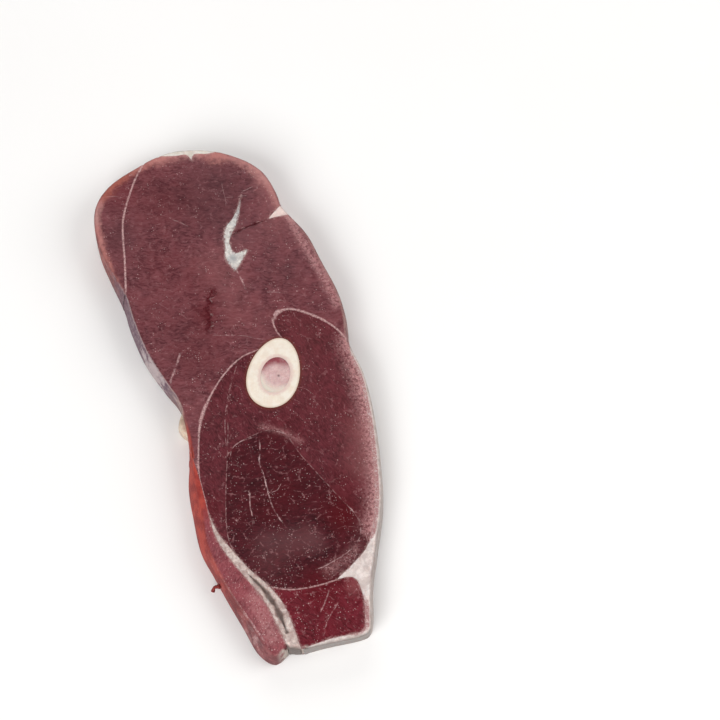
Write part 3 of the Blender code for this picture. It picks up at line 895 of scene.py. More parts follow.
def put(tree, kind, inputs=None, **settings):
    made = tree.nodes.new("ShaderNode" + kind)
    for key, value in settings.items():
        setattr(made, key, value)
    for key, value in (inputs or {}).items():
        if isinstance(value, bpy.types.NodeSocket):
            tree.links.new(value, made.inputs[key])
        else:
            made.inputs[key].default_value = value
    return made


def calc(tree, operation, first, second=0.5, clamp=False):
    made = put(tree, "Math", {0: first, 1: second}, operation=operation, use_clamp=clamp)
    return made.outputs[0]


def times(tree, first, second, clamp=False):
    return calc(tree, "MULTIPLY", first, second, clamp)


def plus(tree, first, second, clamp=False):
    return calc(tree, "ADD", first, second, clamp)


def minus(tree, first, second):
    return calc(tree, "SUBTRACT", first, second)


def blendTint(tree, share, first, second):
    made = put(tree, "Mix", {0: share, 6: first, 7: second}, data_type="RGBA", clamp_factor=True)
    return made.outputs[2]


def band(tree, value, low, high, start=0.0, end=1.0):
    # a soft step from start to end as value goes from low to high
    made = put(tree, "MapRange", {0: value, 1: low, 2: high, 3: start, 4: end},
               interpolation_type="SMOOTHSTEP")
    return made.outputs[0]


def noise(tree, vector, scale, detail=2.0, rough=0.5, twist=0.0):
    made = put(tree, "TexNoise", {"Vector": vector, "Scale": scale, "Detail": detail,
                                  "Roughness": rough, "Distortion": twist})
    return made.outputs[0]


def uneven(tree, vector, scale, detail, rough, strength, middle=0.5):
    # noise that swings both ways about nought
    return times(tree, minus(tree, noise(tree, vector, scale, detail, rough), middle), strength)


def stretch(tree, vector, amounts):
    return put(tree, "VectorMath", {0: vector, 1: amounts}, operation="MULTIPLY").outputs[0]


def spin(tree, vector, angle):
    return put(tree, "VectorRotate", {"Vector": vector, "Angle": angle},
               rotation_type="Z_AXIS").outputs[0]


def bend(tree, vector, scale, detail, push, start):
    # pushes start about by a coloured noise, push in mm along x and y
    drift = put(tree, "TexNoise", {"Vector": vector, "Scale": scale, "Detail": detail})
    return put(tree, "VectorMath", {0: drift.outputs["Color"], 1: (push, push, 0.0), 2: start},
               operation="MULTIPLY_ADD").outputs[0]


def field(tree, name):
    return put(tree, "Attribute", attribute_name=name).outputs["Fac"]


def startGroup(name, inputs, outputs):
    # inputs: name and default, a float, a colour or a vector; outputs: name and kind
    tree = bpy.data.node_groups.new(name, "ShaderNodeTree")
    for label, default in inputs.items():
        kind = "NodeSocketFloat"
        if label == "Vector":
            kind = "NodeSocketVector"
        elif isinstance(default, tuple):
            kind = "NodeSocketColor"
        socket = tree.interface.new_socket(label, in_out="INPUT", socket_type=kind)
        if kind != "NodeSocketVector":
            socket.default_value = default
    for label, kind in outputs.items():
        tree.interface.new_socket(label, in_out="OUTPUT", socket_type="NodeSocket" + kind)
    entry = tree.nodes.new("NodeGroupInput")
    leave = tree.nodes.new("NodeGroupOutput")
    return tree, entry.outputs, leave.inputs


def place(tree, group, **inputs):
    # a shared group in a material, with its own values
    made = put(tree, "Group", node_tree=group)
    for key, value in inputs.items():
        socket = made.inputs[key[0].upper() + key[1:]]
        if isinstance(value, bpy.types.NodeSocket):
            tree.links.new(value, socket)
        else:
            socket.default_value = value
    return made.outputs


def makeFleshGrain():
    # what a sawn muscle shows: blotches, cross-cut fibre bundles, a broken pale web, and painted
    # glints, small near-white dots for light caught on the wet surface
    tree, given, out = startGroup(
        "fleshGrain", {"Vector": None, "Turn": 0.0, "Bundle": 1.0, "WebSize": 3.2, "Crowd": 0.0},
        {"Mottle": "Float", "Fibre": "Float", "Web": "Float", "PaintedGlint": "Float"})
    vector = given["Vector"]
    bent = bend(tree, vector, 0.22, 2.0, 3.0, vector)
    mottle = noise(tree, bent, 0.16, 4.0, 0.62)
    tree.links.new(band(tree, mottle, 0.33, 0.67), out["Mottle"])

    turned = spin(tree, bent, given["Turn"])
    streaks = noise(tree, stretch(tree, turned, (0.5, 1.2, 1.0)), given["Bundle"], 4.0, 0.6)
    strands = noise(tree, stretch(tree, turned, (0.7, 2.4, 1.0)), given["Bundle"], 3.0, 0.65)
    both = plus(tree, times(tree, streaks, 0.55), times(tree, strands, 0.45))
    tree.links.new(band(tree, both, 0.36, 0.64), out["Fibre"])

    cell = calc(tree, "DIVIDE", 1.0, given["WebSize"])
    webbed = bend(tree, vector, 0.9, 3.0, 1.7, stretch(tree, turned, (0.62, 1.0, 0.4)))
    cells = put(tree, "TexVoronoi", {"Vector": webbed, "Scale": cell}, feature="DISTANCE_TO_EDGE",
                voronoi_dimensions="2D")
    thin = band(tree, cells.outputs["Distance"], 0.015, 0.085, 1.0, 0.0)
    broken = band(tree, noise(tree, vector, 0.55, 3.0, 0.6), 0.47, 0.66)
    tree.links.new(times(tree, thin, broken), out["Web"])

    # painted glints: near-white dots in clusters, for light caught on the wet surface
    speckled = bend(tree, vector, 2.2, 2.0, 0.5, vector)
    dots = put(tree, "TexVoronoi", {"Vector": speckled, "Scale": 1.15, "Randomness": 1.0},
               voronoi_dimensions="2D")
    lot = put(tree, "SeparateColor", {0: dots.outputs["Color"]})
    cluster = band(tree, noise(tree, vector, 0.2, 3.0, 0.6), 0.52, 0.66, 0.0, 0.62)
    wanted = plus(tree, plus(tree, cluster, given["Crowd"]), 0.1)
    chosen = band(tree, minus(tree, wanted, lot.outputs[0]), 0.0, 0.1)
    size = plus(tree, times(tree, lot.outputs[1], 0.2), 0.08)
    dot = calc(tree, "DIVIDE", dots.outputs["Distance"], size)
    shine = plus(tree, times(tree, lot.outputs[2], 0.6), 0.4)
    dot = times(tree, band(tree, dot, 0.4, 1.15, 1.0, 0.0), shine)
    tree.links.new(times(tree, dot, chosen), out["PaintedGlint"])
    return tree


def makePaleThread():
    # a thin line where Distance, counted in widths, is near nought, wavy and worn through
    tree, given, out = startGroup(
        "paleThread", {"Vector": None, "Distance": 1.0, "Force": 1.0, "Wander": 0.5, "Wear": 0.4},
        {"Mask": "Float"})
    vector = given["Vector"]
    moved = plus(tree, given["Distance"], uneven(tree, vector, 0.7, 3.0, 0.6, given["Wander"]))
    line = band(tree, calc(tree, "ABSOLUTE", moved), 0.2, 0.62, 1.0, 0.0)
    gap = noise(tree, vector, 0.42, 4.0, 0.65)
    kept = band(tree, minus(tree, gap, times(tree, given["Wear"], 0.5)), 0.12, 0.32)
    bead = band(tree, noise(tree, vector, 1.7, 2.0, 0.6), 0.35, 0.62, 0.35, 1.0)
    force = times(tree, times(tree, given["Force"], kept), bead)
    tree.links.new(times(tree, line, force, True), out["Mask"])
    return tree


def makeStainAndPaintedLight():
    # carries a colour lighter or darker by Tone, redder or browner by Warm
    tree, given, out = startGroup(
        "stainAndPaintedLight", {"Color": (0.2, 0.05, 0.06, 1.0), "Tone": 0.0, "Warm": 0.0}, {"Color": "Color"})
    colour = given["Color"]
    for label, strength, tint in (("Tone", 0.55, "#b07473"), ("Tone", -0.62, "#380b11"),
                                  ("Warm", 0.55, "#5e0510"), ("Warm", -0.6, "#5d4044")):
        share = times(tree, given[label], strength, True)
        colour = blendTint(tree, share, colour, hexTint(tint))
    tree.links.new(colour, out["Color"])
    return tree


def makeWetFilm():
    # patches where juice lies on the surface and shines
    tree, given, out = startGroup(
        "wetFilm", {"Vector": None, "Dry": 0.55, "Wet": 0.3, "Amount": 0.5},
        {"Roughness": "Float", "Coat": "Float"})
    patches = noise(tree, given["Vector"], 0.28, 4.0, 0.6)
    low = minus(tree, 0.72, times(tree, given["Amount"], 0.4))
    wet = band(tree, patches, low, plus(tree, low, 0.12))
    fine = times(tree, noise(tree, given["Vector"], 2.4, 2.0), 0.12)
    rough = put(tree, "MapRange", {0: wet, 3: given["Dry"], 4: given["Wet"]}).outputs[0]
    tree.links.new(plus(tree, rough, minus(tree, fine, 0.06), True), out["Roughness"])
    tree.links.new(times(tree, wet, 0.14), out["Coat"])
    return tree


def makeFatWax():
    # waxy fat: soft clouds, painted shade in fine creases, and small pores
    tree, given, out = startGroup(
        "fatWax", {"Vector": None, "Size": 1.0}, {"Cloud": "Float", "CreaseShade": "Float", "Pore": "Float"})
    scaled = put(tree, "VectorMath", {0: given["Vector"], "Scale": given["Size"]},
                 operation="SCALE").outputs[0]
    tree.links.new(band(tree, noise(tree, scaled, 0.35, 4.0, 0.6, 0.4), 0.3, 0.7), out["Cloud"])
    creases = put(tree, "TexVoronoi", {"Vector": scaled, "Scale": 0.5}, feature="DISTANCE_TO_EDGE")
    tree.links.new(band(tree, creases.outputs["Distance"], 0.0, 0.12, 1.0, 0.0), out["CreaseShade"])
    tree.links.new(band(tree, noise(tree, scaled, 2.6, 3.0, 0.7), 0.58, 0.75), out["Pore"])
    return tree


fleshGrain = makeFleshGrain()
paleThread = makePaleThread()
stainAndPaintedLight = makeStainAndPaintedLight()
wetFilm = makeWetFilm()
fatWax = makeFatWax()


def startMaterial(name):
    # a cleared material with its shader, and the object's own place in mm
    material = bpy.data.materials.new(name)
    material.use_nodes = True
    tree = material.node_tree
    tree.nodes.clear()
    shader = put(tree, "BsdfPrincipled")
    output = put(tree, "OutputMaterial")
    tree.links.new(shader.outputs[0], output.inputs["Surface"])
    own = put(tree, "TexCoord").outputs["Object"]
    vector = put(tree, "VectorMath", {0: own, "Scale": 1000.0}, operation="SCALE").outputs[0]
    return material, tree, shader, vector


def addBump(tree, shader, height, distance, strength):
    bump = put(tree, "Bump", {"Height": height, "Distance": distance, "Strength": strength})
    tree.links.new(bump.outputs[0], shader.inputs["Normal"])


def addWet(tree, shader, vector, dry, wet, amount):
    film = place(tree, wetFilm, vector=vector, dry=dry, wet=wet, amount=amount)
    tree.links.new(film["Roughness"], shader.inputs["Roughness"])
    return film


def setFlesh(shader, specular, glow, radius, scale):
    # gloss, and the light that soaks into the surface, scale in metres
    shader.inputs["Specular IOR Level"].default_value = specular
    shader.inputs["Subsurface Weight"].default_value = glow
    shader.inputs["Subsurface Radius"].default_value = radius
    shader.inputs["Subsurface Scale"].default_value = scale


# each look also sets how strongly its painted glints show, and how thickly they crowd
leanLooks = {
    "leanRump": dict(deep="#4a2127", base="#6b363b", light="#8f575c", turn=0.35, bundle=0.95,
                     web=0.34, webSize=3.4, paintedGlint=0.55, crowd=-0.06, wet=0.25),
    "leanDark": dict(deep="#3b1318", base="#562027", light="#793941", turn=1.2, bundle=1.1,
                     web=0.34, webSize=3.8, paintedGlint=0.55, crowd=-0.02, wet=0.40),
    "leanEye": dict(deep="#2b090f", base="#420f16", light="#61232c", turn=0.2, bundle=1.0,
                    web=0.46, webSize=3.2, paintedGlint=0.52, crowd=0.08, wet=0.45),
    "leanEnd": dict(deep="#440911", base="#5f121e", light="#87323e", turn=0.9, bundle=1.1,
                    web=0.45, webSize=2.6, paintedGlint=0.60, crowd=0.12, wet=0.35),
    "leanFlank": dict(deep="#652a31", base="#863e45", light="#ab646a", turn=-0.9, bundle=1.2,
                      web=0.25, webSize=2.6, paintedGlint=0.70, crowd=0.10, wet=0.25),
}
leanShared = dict(thread="#c8a5a4", seam="#c29c9a", edge="#b97e7a", edgeOrange="#b4604a",
                  # the crack's dark on the next line is partly the flesh's own dark red, partly painted
                  # shade
                  edgeCream="#d3bdb4", seep="#c0a09b", crack="#520f19", web="#a27274",
                  # the next line starts with the near-white of the painted glints
                  paintedGlint="#dfc1be", fringe="#c08c8c", silver="#624555", silverPale="#b5a5a6",
                  # the next line ends with the dark of the painted shade on the side
                  raw="#b14a3f", rawDark="#8f3734", nearFat="#b9aba2", paintedSideShade="#4f242b",
                  # the next line starts with the dark red of the painted shade round a crack
                  haloShadeRed="#5c151c", boneEdge="#6a3428")


def paintFlesh(tree, grain, look, shared):
    # the muscle itself: blotches, fibres, stains with a few marks of painted light, and the
    # broken pale web
    body = blendTint(tree, grain["Mottle"], hexTint(look["deep"]), hexTint(look["base"]))
    body = blendTint(tree, times(tree, grain["Fibre"], 0.55), body, hexTint(look["light"]))
    stainAndLightTone = place(tree, stainAndPaintedLight, color=body, tone=field(tree, "tone"), warm=field(tree, "warm"))
    return blendTint(tree, times(tree, grain["Web"], look["web"]), stainAndLightTone["Color"], shared["web"])


def paintEdge(tree, vector, colour, shared):
    # the pale outer edge of the cut face, and the pink borders beside it
    edgeTint = field(tree, "edgeTint")
    edgeColour = blendTint(tree, times(tree, edgeTint, 1.0, True), shared["edge"], shared["edgeOrange"])
    edgeColour = blendTint(tree, times(tree, edgeTint, -1.0, True), edgeColour, shared["edgeCream"])
    edgeWidths = calc(tree, "DIVIDE", field(tree, "rimGap"), field(tree, "edgeWidth"))
    edgeNoise = uneven(tree, vector, 0.6, 4.0, 0.65, 1.3)
    paleEdge = band(tree, plus(tree, edgeWidths, edgeNoise), 0.15, 1.15, 1.0, 0.0)
    colour = blendTint(tree, times(tree, paleEdge, field(tree, "edgeForce")), colour, edgeColour)
    fringeNoise = band(tree, noise(tree, vector, 1.1, 5.0, 0.75), 0.36, 0.60, 0.15, 1.0)
    return blendTint(tree, times(tree, field(tree, "fringe"), fringeNoise), colour, shared["fringe"])


def paintSeams(tree, vector, colour, shared):
    # seams between muscles, pale threads, and the borders with fat and bone
    seamWidths = calc(tree, "DIVIDE", field(tree, "seam"), field(tree, "seamWidth"))
    seamForce = field(tree, "seamForce")
    seamWear = minus(tree, 0.85, times(tree, seamForce, 0.6))
    seam = place(tree, paleThread, vector=vector, distance=seamWidths, force=seamForce,
                 wander=0.6, wear=seamWear)["Mask"]
    line = place(tree, paleThread, vector=vector, distance=field(tree, "thread"),
                 force=field(tree, "threadForce"), wander=1.0, wear=0.5)["Mask"]
    colour = blendTint(tree, seam, colour, shared["seam"])
    colour = blendTint(tree, line, colour, shared["thread"])
    borderNoise = uneven(tree, vector, 0.9, 4.0, 0.65, 3.4, 0.45)
    border = band(tree, minus(tree, field(tree, "fatGap"), borderNoise), -0.2, 0.45, 0.34, 0.0)
    colour = blendTint(tree, border, colour, shared["seep"])
    boneEdge = band(tree, field(tree, "boneGap"), 0.0, 1.5, 0.55, 0.0)
    return blendTint(tree, boneEdge, colour, shared["boneEdge"])


def paintCrack(tree, vector, colour, shared):
    # a torn crevice, its dark partly the flesh's own dark red and partly painted shade, with a
    # halo of red painted shade and a few painted glints beside it
    centre = field(tree, "crack")
    force = field(tree, "crackForce")
    crackWidth = calc(tree, "ABSOLUTE", plus(tree, centre, uneven(tree, vector, 0.8, 4.0, 0.7, 7.5)))
    crackGaps = band(tree, noise(tree, vector, 1.5, 3.0, 0.65, 0.5), 0.38, 0.5)
    crack = times(tree, band(tree, crackWidth, 0.3, 1.05, 1.0, 0.0), times(tree, force, crackGaps))
    halo = band(tree, calc(tree, "ABSOLUTE", centre), 0.4, 2.4, 0.32, 0.0)
    colour = blendTint(tree, times(tree, halo, force), colour, shared["haloShadeRed"])
    colour = blendTint(tree, crack, colour, shared["crack"])
    glint = place(tree, paleThread, vector=vector, distance=minus(tree, centre, 0.8),
                  force=times(tree, force, 0.42), wander=3.6, wear=0.7)["Mask"]
    return blendTint(tree, glint, colour, shared["paintedGlint"]), crack


def paintSide(tree, vector, colour, shared):
    # the side: painted shade in patches, silver and white skin, the raw red stretch, the pale near end
    wall = field(tree, "wall")
    patches = noise(tree, vector, 0.22, 4.0, 0.6)
    flakes = noise(tree, vector, 0.6, 5.0, 0.7)
    flakeShift = minus(tree, flakes, 0.5)
    # painted shade in patches on the side walls
    paintedSideShade = times(tree, wall, band(tree, patches, 0.4, 0.62, 0.75, 0.25))
    colour = blendTint(tree, times(tree, paintedSideShade, 0.9), colour, shared["paintedSideShade"])
    skinShare = band(tree, plus(tree, wall, times(tree, flakes, -0.9)), 0.15, 0.7, 1.0, 0.0)
    whiteShare = band(tree, plus(tree, field(tree, "whiteSkin"), times(tree, flakeShift, 2.4)),
                      0.25, 0.95)
    skinShare = calc(tree, "MAXIMUM", skinShare, whiteShare)
    silverTint = blendTint(tree, skinShare, shared["silver"], shared["silverPale"])
    silver = field(tree, "silver")
    silverShare = band(tree, plus(tree, silver, times(tree, flakeShift, 1.6)), 0.15, 0.65)
    colour = blendTint(tree, times(tree, silverShare, silver, True), colour, silverTint)
    rawTint = blendTint(tree, band(tree, patches, 0.38, 0.6), shared["rawDark"], shared["raw"])
    colour = blendTint(tree, field(tree, "raw"), colour, rawTint)
    nearPatches = band(tree, noise(tree, vector, 0.35, 3.0, 0.6), 0.36, 0.5)
    return blendTint(tree, times(tree, field(tree, "near"), nearPatches), colour, shared["nearFat"])


def makeLean(name):
    look = leanLooks[name]
    shared = {key: hexTint(code) for key, code in leanShared.items()}
    material, tree, shader, vector = startMaterial(name)
    # the painted glints crowd thicker on the pink borders
    crowd = plus(tree, times(tree, field(tree, "fringe"), 0.6), look["crowd"])
    grain = place(tree, fleshGrain, vector=vector, turn=look["turn"], bundle=look["bundle"],
                  webSize=look["webSize"], crowd=crowd)
    colour = paintFlesh(tree, grain, look, shared)
    colour = paintEdge(tree, vector, colour, shared)
    colour = paintSeams(tree, vector, colour, shared)
    # painted glints over the flesh
    colour = blendTint(tree, times(tree, grain["PaintedGlint"], look["paintedGlint"]), colour, shared["paintedGlint"])
    colour, crack = paintCrack(tree, vector, colour, shared)
    colour = paintSide(tree, vector, colour, shared)
    tree.links.new(colour, shader.inputs["Base Color"])

    film = addWet(tree, shader, vector, 0.56, 0.3, look["wet"])
    tree.links.new(film["Coat"], shader.inputs["Coat Weight"])
    shader.inputs["Coat Roughness"].default_value = 0.2
    fine = times(tree, noise(tree, vector, 3.2, 3.0, 0.65), 0.4)
    height = plus(tree, times(tree, grain["Fibre"], 0.6), fine)
    addBump(tree, shader, minus(tree, height, times(tree, crack, 1.5)), 0.00022, 0.75)
    setFlesh(shader, 0.10, 0.08, (1.0, 0.25, 0.18), 0.0012)
    return material


# lean is how far the flesh colour reaches into the fat, ragged how unevenly, both in mm;
# side is the wall colour, the fat greyed and darkened by painted shade
fatLooks = {
    "fatRim": dict(base="#ece6de", shade="#cbc1b5", blush="#c49c92", side="#b9b2ab",
                   lean=0.1, ragged=1.5, size=1.0),
    "fatNotch": dict(base="#efdad3", shade="#dcc3bc", blush="#b98784", side="#b9a39f",
                     lean=0.0, ragged=1.5, size=1.4),
    "fatStar": dict(base="#eae3dc", shade="#b4adaa", blush="#7c4d4e", side="#a59a90",
                    lean=0.2, ragged=4.4, size=1.6),
    "fatEdge": dict(base="#e8dcd7", shade="#c3b2ad", blush="#a06a6b", side="#8a7b73",
                    lean=0.0, ragged=1.6, size=1.2),
    "fatSeam": dict(base="#dccdc5", shade="#a58b85", blush="#8f5a5a", side="#aba19b",
                    lean=0.1, ragged=2.0, size=1.5),
    "fatTab": dict(base="#e2d0ba", shade="#c4aa94", blush="#b07c72", side="#bfae9a",
                   lean=0.0, ragged=1.5, size=1.2),
}
# painted shade: in the groove and carved hollows, on near-facing walls, on the star's grey blob
fatShared = dict(groove="#574039", nearShadeTint="#5f5752", paintedShade="#8b8f93")


def makeFat(name):
    look = {key: hexTint(value) if isinstance(value, str) else value
            for key, value in dict(fatLooks[name], **fatShared).items()}
    material, tree, shader, vector = startMaterial(name)
    wax = place(tree, fatWax, vector=vector, size=look["size"])
    colour = blendTint(tree, wax["Cloud"], look["shade"], look["base"])
    # painted shade in the fine creases
    colour = blendTint(tree, times(tree, wax["CreaseShade"], 0.35), colour, look["shade"])
    ragged = times(tree, noise(tree, vector, 0.9, 4.0, 0.65), look["ragged"])
    edge = look["lean"] - look["ragged"] * 0.5
    inside = minus(tree, field(tree, "fatGap"), times(tree, field(tree, "fringe"), 2.0))
    border = band(tree, minus(tree, inside, ragged), edge - 0.25, edge + 0.35, 0.92, 0.0)
    border = times(tree, border, band(tree, field(tree, "rimGap"), 0.5, 1.1))
    islands = band(tree, noise(tree, vector, 1.6, 4.0, 0.75), 0.60, 0.48, 0.35, 1.0)
    colour = blendTint(tree, times(tree, border, islands), colour, look["blush"])
    # painted shade in the groove and other carved hollows
    hollowShade = band(tree, field(tree, "carve"), 0.3, 1.5, 0.0, 0.85)
    colour = blendTint(tree, hollowShade, colour, look["groove"])
    # painted shade where the tone is dark, on the star's grey blob
    paintedShade = times(tree, field(tree, "tone"), -0.9, True)
    colour = blendTint(tree, paintedShade, colour, look["paintedShade"])
    # the walls: fat greyed and darkened by painted shade, deeper painted shadow where they face the near
    # end
    wallShadeTint = blendTint(tree, times(tree, wax["Cloud"], 0.45), look["side"], look["shade"])
    wallShadeTint = blendTint(tree, field(tree, "nearShadeMask"), wallShadeTint, look["nearShadeTint"])
    colour = blendTint(tree, times(tree, field(tree, "wall"), 0.75), colour, wallShadeTint)
    tree.links.new(colour, shader.inputs["Base Color"])
    addWet(tree, shader, vector, 0.5, 0.34, 0.35)
    addBump(tree, shader, minus(tree, wax["Cloud"], times(tree, wax["Pore"], 0.5)), 0.0002, 0.6)
    setFlesh(shader, 0.4, 0.25, (1.0, 0.55, 0.4), 0.0015)
    return material


boneLook = dict(base="#ebe2d5", warm="#e3d4c3", edge="#cdb39c", inner="#d9bdb4")
sawTurn = 0.3  # radians, the way the saw marks run over the bone


def makeBone():
    tints = {key: hexTint(value) for key, value in boneLook.items()}
    material, tree, shader, vector = startMaterial("boneIvory")
    cloud = band(tree, noise(tree, vector, 0.3, 4.0, 0.6), 0.35, 0.7)
    colour = blendTint(tree, cloud, tints["base"], tints["warm"])
    outer = band(tree, field(tree, "fatGap"), 0.0, 0.9, 0.7, 0.0)
    colour = blendTint(tree, outer, colour, tints["edge"])
    spongy = plus(tree, field(tree, "seam"), times(tree, noise(tree, vector, 0.9, 3.0, 0.6), -1.6))
    colour = blendTint(tree, band(tree, spongy, -0.5, 0.9, 0.8, 0.0), colour, tints["inner"])
    tree.links.new(colour, shader.inputs["Base Color"])
    saw = put(tree, "TexWave", {"Vector": spin(tree, vector, sawTurn), "Scale": 0.55,
                                "Distortion": 1.2, "Detail": 2.0})
    addWet(tree, shader, vector, 0.46, 0.3, 0.4)
    height = plus(tree, times(tree, saw.outputs[1], 0.35), noise(tree, vector, 2.5, 3.0, 0.6))
    addBump(tree, shader, height, 0.0001, 0.4)
    setFlesh(shader, 0.45, 0.2, (1.0, 0.7, 0.5), 0.001)
    return material


marrowLook = dict(base="#d6b6b4", deep="#c8a2a1", pale="#ddc6bd", arc="#8a3f48", hole="#3f2a2e",
                  foot="#ddcfc2")


def makeMarrow():
    tints = {key: hexTint(value) for key, value in marrowLook.items()}
    material, tree, shader, vector = startMaterial("marrowPink")
    grains = noise(tree, vector, 0.9, 4.0, 0.65)
    colour = blendTint(tree, band(tree, grains, 0.35, 0.68), tints["deep"], tints["base"])
    fine = band(tree, noise(tree, vector, 2.2, 3.0, 0.7), 0.52, 0.75)
    colour = blendTint(tree, fine, colour, tints["pale"])
    colour = blendTint(tree, field(tree, "foot"), colour, tints["foot"])
    # the dark red crescent: partly the marrow's own red, partly painted shade below the bone
    arcNoise = band(tree, noise(tree, vector, 0.45, 3.0, 0.6), 0.3, 0.55, 0.55, 1.0)
    colour = blendTint(tree, times(tree, field(tree, "arc"), arcNoise), colour, tints["arc"])
    # painted shade in the vessel hole
    colour = blendTint(tree, field(tree, "hole"), colour, tints["hole"])
    tree.links.new(colour, shader.inputs["Base Color"])
    addWet(tree, shader, vector, 0.42, 0.24, 0.6)
    addBump(tree, shader, grains, 0.0004, 0.6)
    setFlesh(shader, 0.45, 0.3, (1.0, 0.4, 0.3), 0.0015)
    return material


print("materials ready")


slicePlan = {  # node: piece name, slot, material
    "lean_cap": ("capMuscle", "lean_rump", "leanRump"),
    "lean_rump": ("rumpMuscle", "lean_rump", "leanRump"),
    "lean_side": ("sideMuscle", "lean_rump", "leanRump"),
    "lean_thigh": ("thighMuscle", "lean_dark", "leanDark"),
    "lean_strip": ("stripMuscle", "lean_dark", "leanDark"),
    "lean_eye": ("eyeMuscle", "lean_dark", "leanEye"),
    "lean_end": ("endMuscle", "lean_end", "leanEnd"),
    "lean_flank": ("flankMuscle", "lean_flank", "leanFlank"),
    "fat_far": ("farFat", "fat", "fatRim"),
    "fat_notch": ("notchFat", "fat", "fatNotch"),
    "fat_star": ("starFat", "fat", "fatStar"),
    "fat_edge": ("edgeFat", "fat", "fatEdge"),
    "fat_seam": ("seamFat", "fat", "fatSeam"),
    "bone": ("boneRing", "bone", "boneIvory"),
    "marrow": ("marrowCore", "marrow", "marrowPink"),
}
materials = {name: makeLean(name) for name in leanLooks}
materials.update({name: makeFat(name) for name in fatLooks})
materials["boneIvory"] = makeBone()
materials["marrowPink"] = makeMarrow()


# places run from -1 to 1 over the marrow; a lean says which way a mark lies, across and along
marrowMarks = dict(arcRing=(0.40, 0.86), arcRise=(0.10, 0.75), arcLean=(0.05, 0.92),
                   footRing=(0.45, 0.95), footRise=(0.0, 0.6), footLean=(-0.65, -0.75),
                   hole=(0.18, -0.08), holeSpread=0.004)


def marrowMark(name, u, v):
    across, along = marrowMarks[name + "Lean"]
    return ease(*marrowMarks[name + "Ring"], np.hypot(u, v)) \
        * ease(*marrowMarks[name + "Rise"], v * along + u * across)


def markMarrow(piece):
    # a dark red crescent at the far side, partly the marrow's own red and partly painted shade
    # below the bone; a pale soft foot; one small vessel hole, dark with painted shade
    mesh = piece.data
    coords = np.zeros(len(mesh.vertices) * 3)
    mesh.vertices.foreach_get("co", coords)
    coords = coords.reshape(-1, 3) * 1000.0
    low, high = coords.min(0), coords.max(0)
    middle = (low + high) / 2.0
    half = (high - low) / 2.0
    u = (coords[:, 0] - middle[0]) / half[0]
    v = (coords[:, 1] - middle[1]) / half[1]
    across, along = marrowMarks["hole"]
    hole = np.exp(-((u - across) ** 2 + (v - along) ** 2) / marrowMarks["holeSpread"])
    addFields(mesh, dict(arc=marrowMark("arc", u, v), foot=marrowMark("foot", u, v), hole=hole))


pieces = {}
for node, (name, slotName, materialName) in slicePlan.items():
    spacing = mesher["fine"] if family[node] == "lean" else mesher["finer"]
    piece = buildSlice(name, node, spacing)
    piece.data.materials.append(materials[materialName])
    pieces[node] = piece
markMarrow(pieces["marrow"])


# the low fat tab outside the left side, in mm but for its shares
tabPlan = dict(voxel=0.5, smoothing=3, lump=0.2, lumpSize=2.2, widen=1.8, bulge=0.78, lengthen=1.4,
               lowest=0.75, rise=0.4)
# what its material reads: no flesh or rim near it, nothing carved
tabFields = dict(fatGap=9.0, rimGap=9.0, carve=0.0, wall=0.0, fringe=0.0, tone=0.0, nearShadeMask=0.0)


def stretchTab(mesh):
    # brings the tab's inner side up against the wall, and its far end further along it
    coords = np.array([vert.co[:] for vert in mesh.vertices]) * 1000.0
    _, nearest = nearestRim(coords[:, :2])
    out = rim["outward"][nearest]
    beyond = ((coords[:, :2] - rim["places"][nearest]) * out).sum(1)
    depth = beyond.max() - beyond.min()
    share = (beyond - beyond.min()) / depth
    along = (coords[:, 1] - coords[:, 1].min()) / (coords[:, 1].max() - coords[:, 1].min())
    taper = tabPlan["bulge"] * np.sqrt(np.sin(np.pi * along))
    inward = depth * ((1.0 - share) * (tabPlan["widen"] - 1.0) + share * (1.0 - taper))
    coords[:, :2] -= out * inward[:, None]
    coords[:, 1] += (coords[:, 1] - coords[:, 1].min()) * (tabPlan["lengthen"] - 1.0)
    coords[:, 2] *= tabPlan["lowest"] + tabPlan["rise"] * taper
    for vert, place in zip(mesh.vertices, coords * 0.001):
        vert.co = place


def buildTab():
    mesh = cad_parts["fat_tab"].data.copy()
    mesh.name = "tabFat"
    piece = addObject("tabFat", mesh)
    remesh = piece.modifiers.new("remesh", "REMESH")
    remesh.mode = "VOXEL"
    remesh.voxel_size = tabPlan["voxel"] * 0.001
    smooth = piece.modifiers.new("smooth", "SMOOTH")
    smooth.iterations = tabPlan["smoothing"]
    bpy.context.view_layer.update()
    graph = bpy.context.evaluated_depsgraph_get()
    shaped = bpy.data.meshes.new_from_object(piece.evaluated_get(graph))
    piece.modifiers.clear()
    piece.data = shaped
    bpy.data.meshes.remove(mesh)
    stretchTab(shaped)
    for vert in shaped.vertices:
        lump = softNoise(np.array([vert.co.x * 1000.0 + vert.co.z * 900.0]),
                         np.array([vert.co.y * 1000.0]), tabPlan["lumpSize"], 21)[0]
        vert.co -= vert.normal * (tabPlan["lump"] * (0.5 + 0.5 * lump)) * 0.001
        vert.co.z = max(vert.co.z, 0.0)
    addFields(shaped, tabFields)
    shaped.materials.clear()
    shaped.materials.append(materials["fatTab"])
    shaped.shade_smooth()
    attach(piece, "root")
    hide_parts("fat_tab")
    print("built tabFat", len(shaped.vertices), "vertices")


buildTab()


# the small red shred that hangs off the flank: shares of the box and a height in mm
shredPlan = dict(path=[(0.096, 0.166, 5.5), (0.082, 0.168, 5.2), (0.070, 0.168, 4.4),
                       (0.060, 0.163, 3.4)],
                 thick=[0.85, 0.6, 0.48, 0.75], tip=0.5, lump=0.22, lumpSteps=(3.1, 1.7), sides=10,
                 dark="#6a1c1d", red="#a23a33")


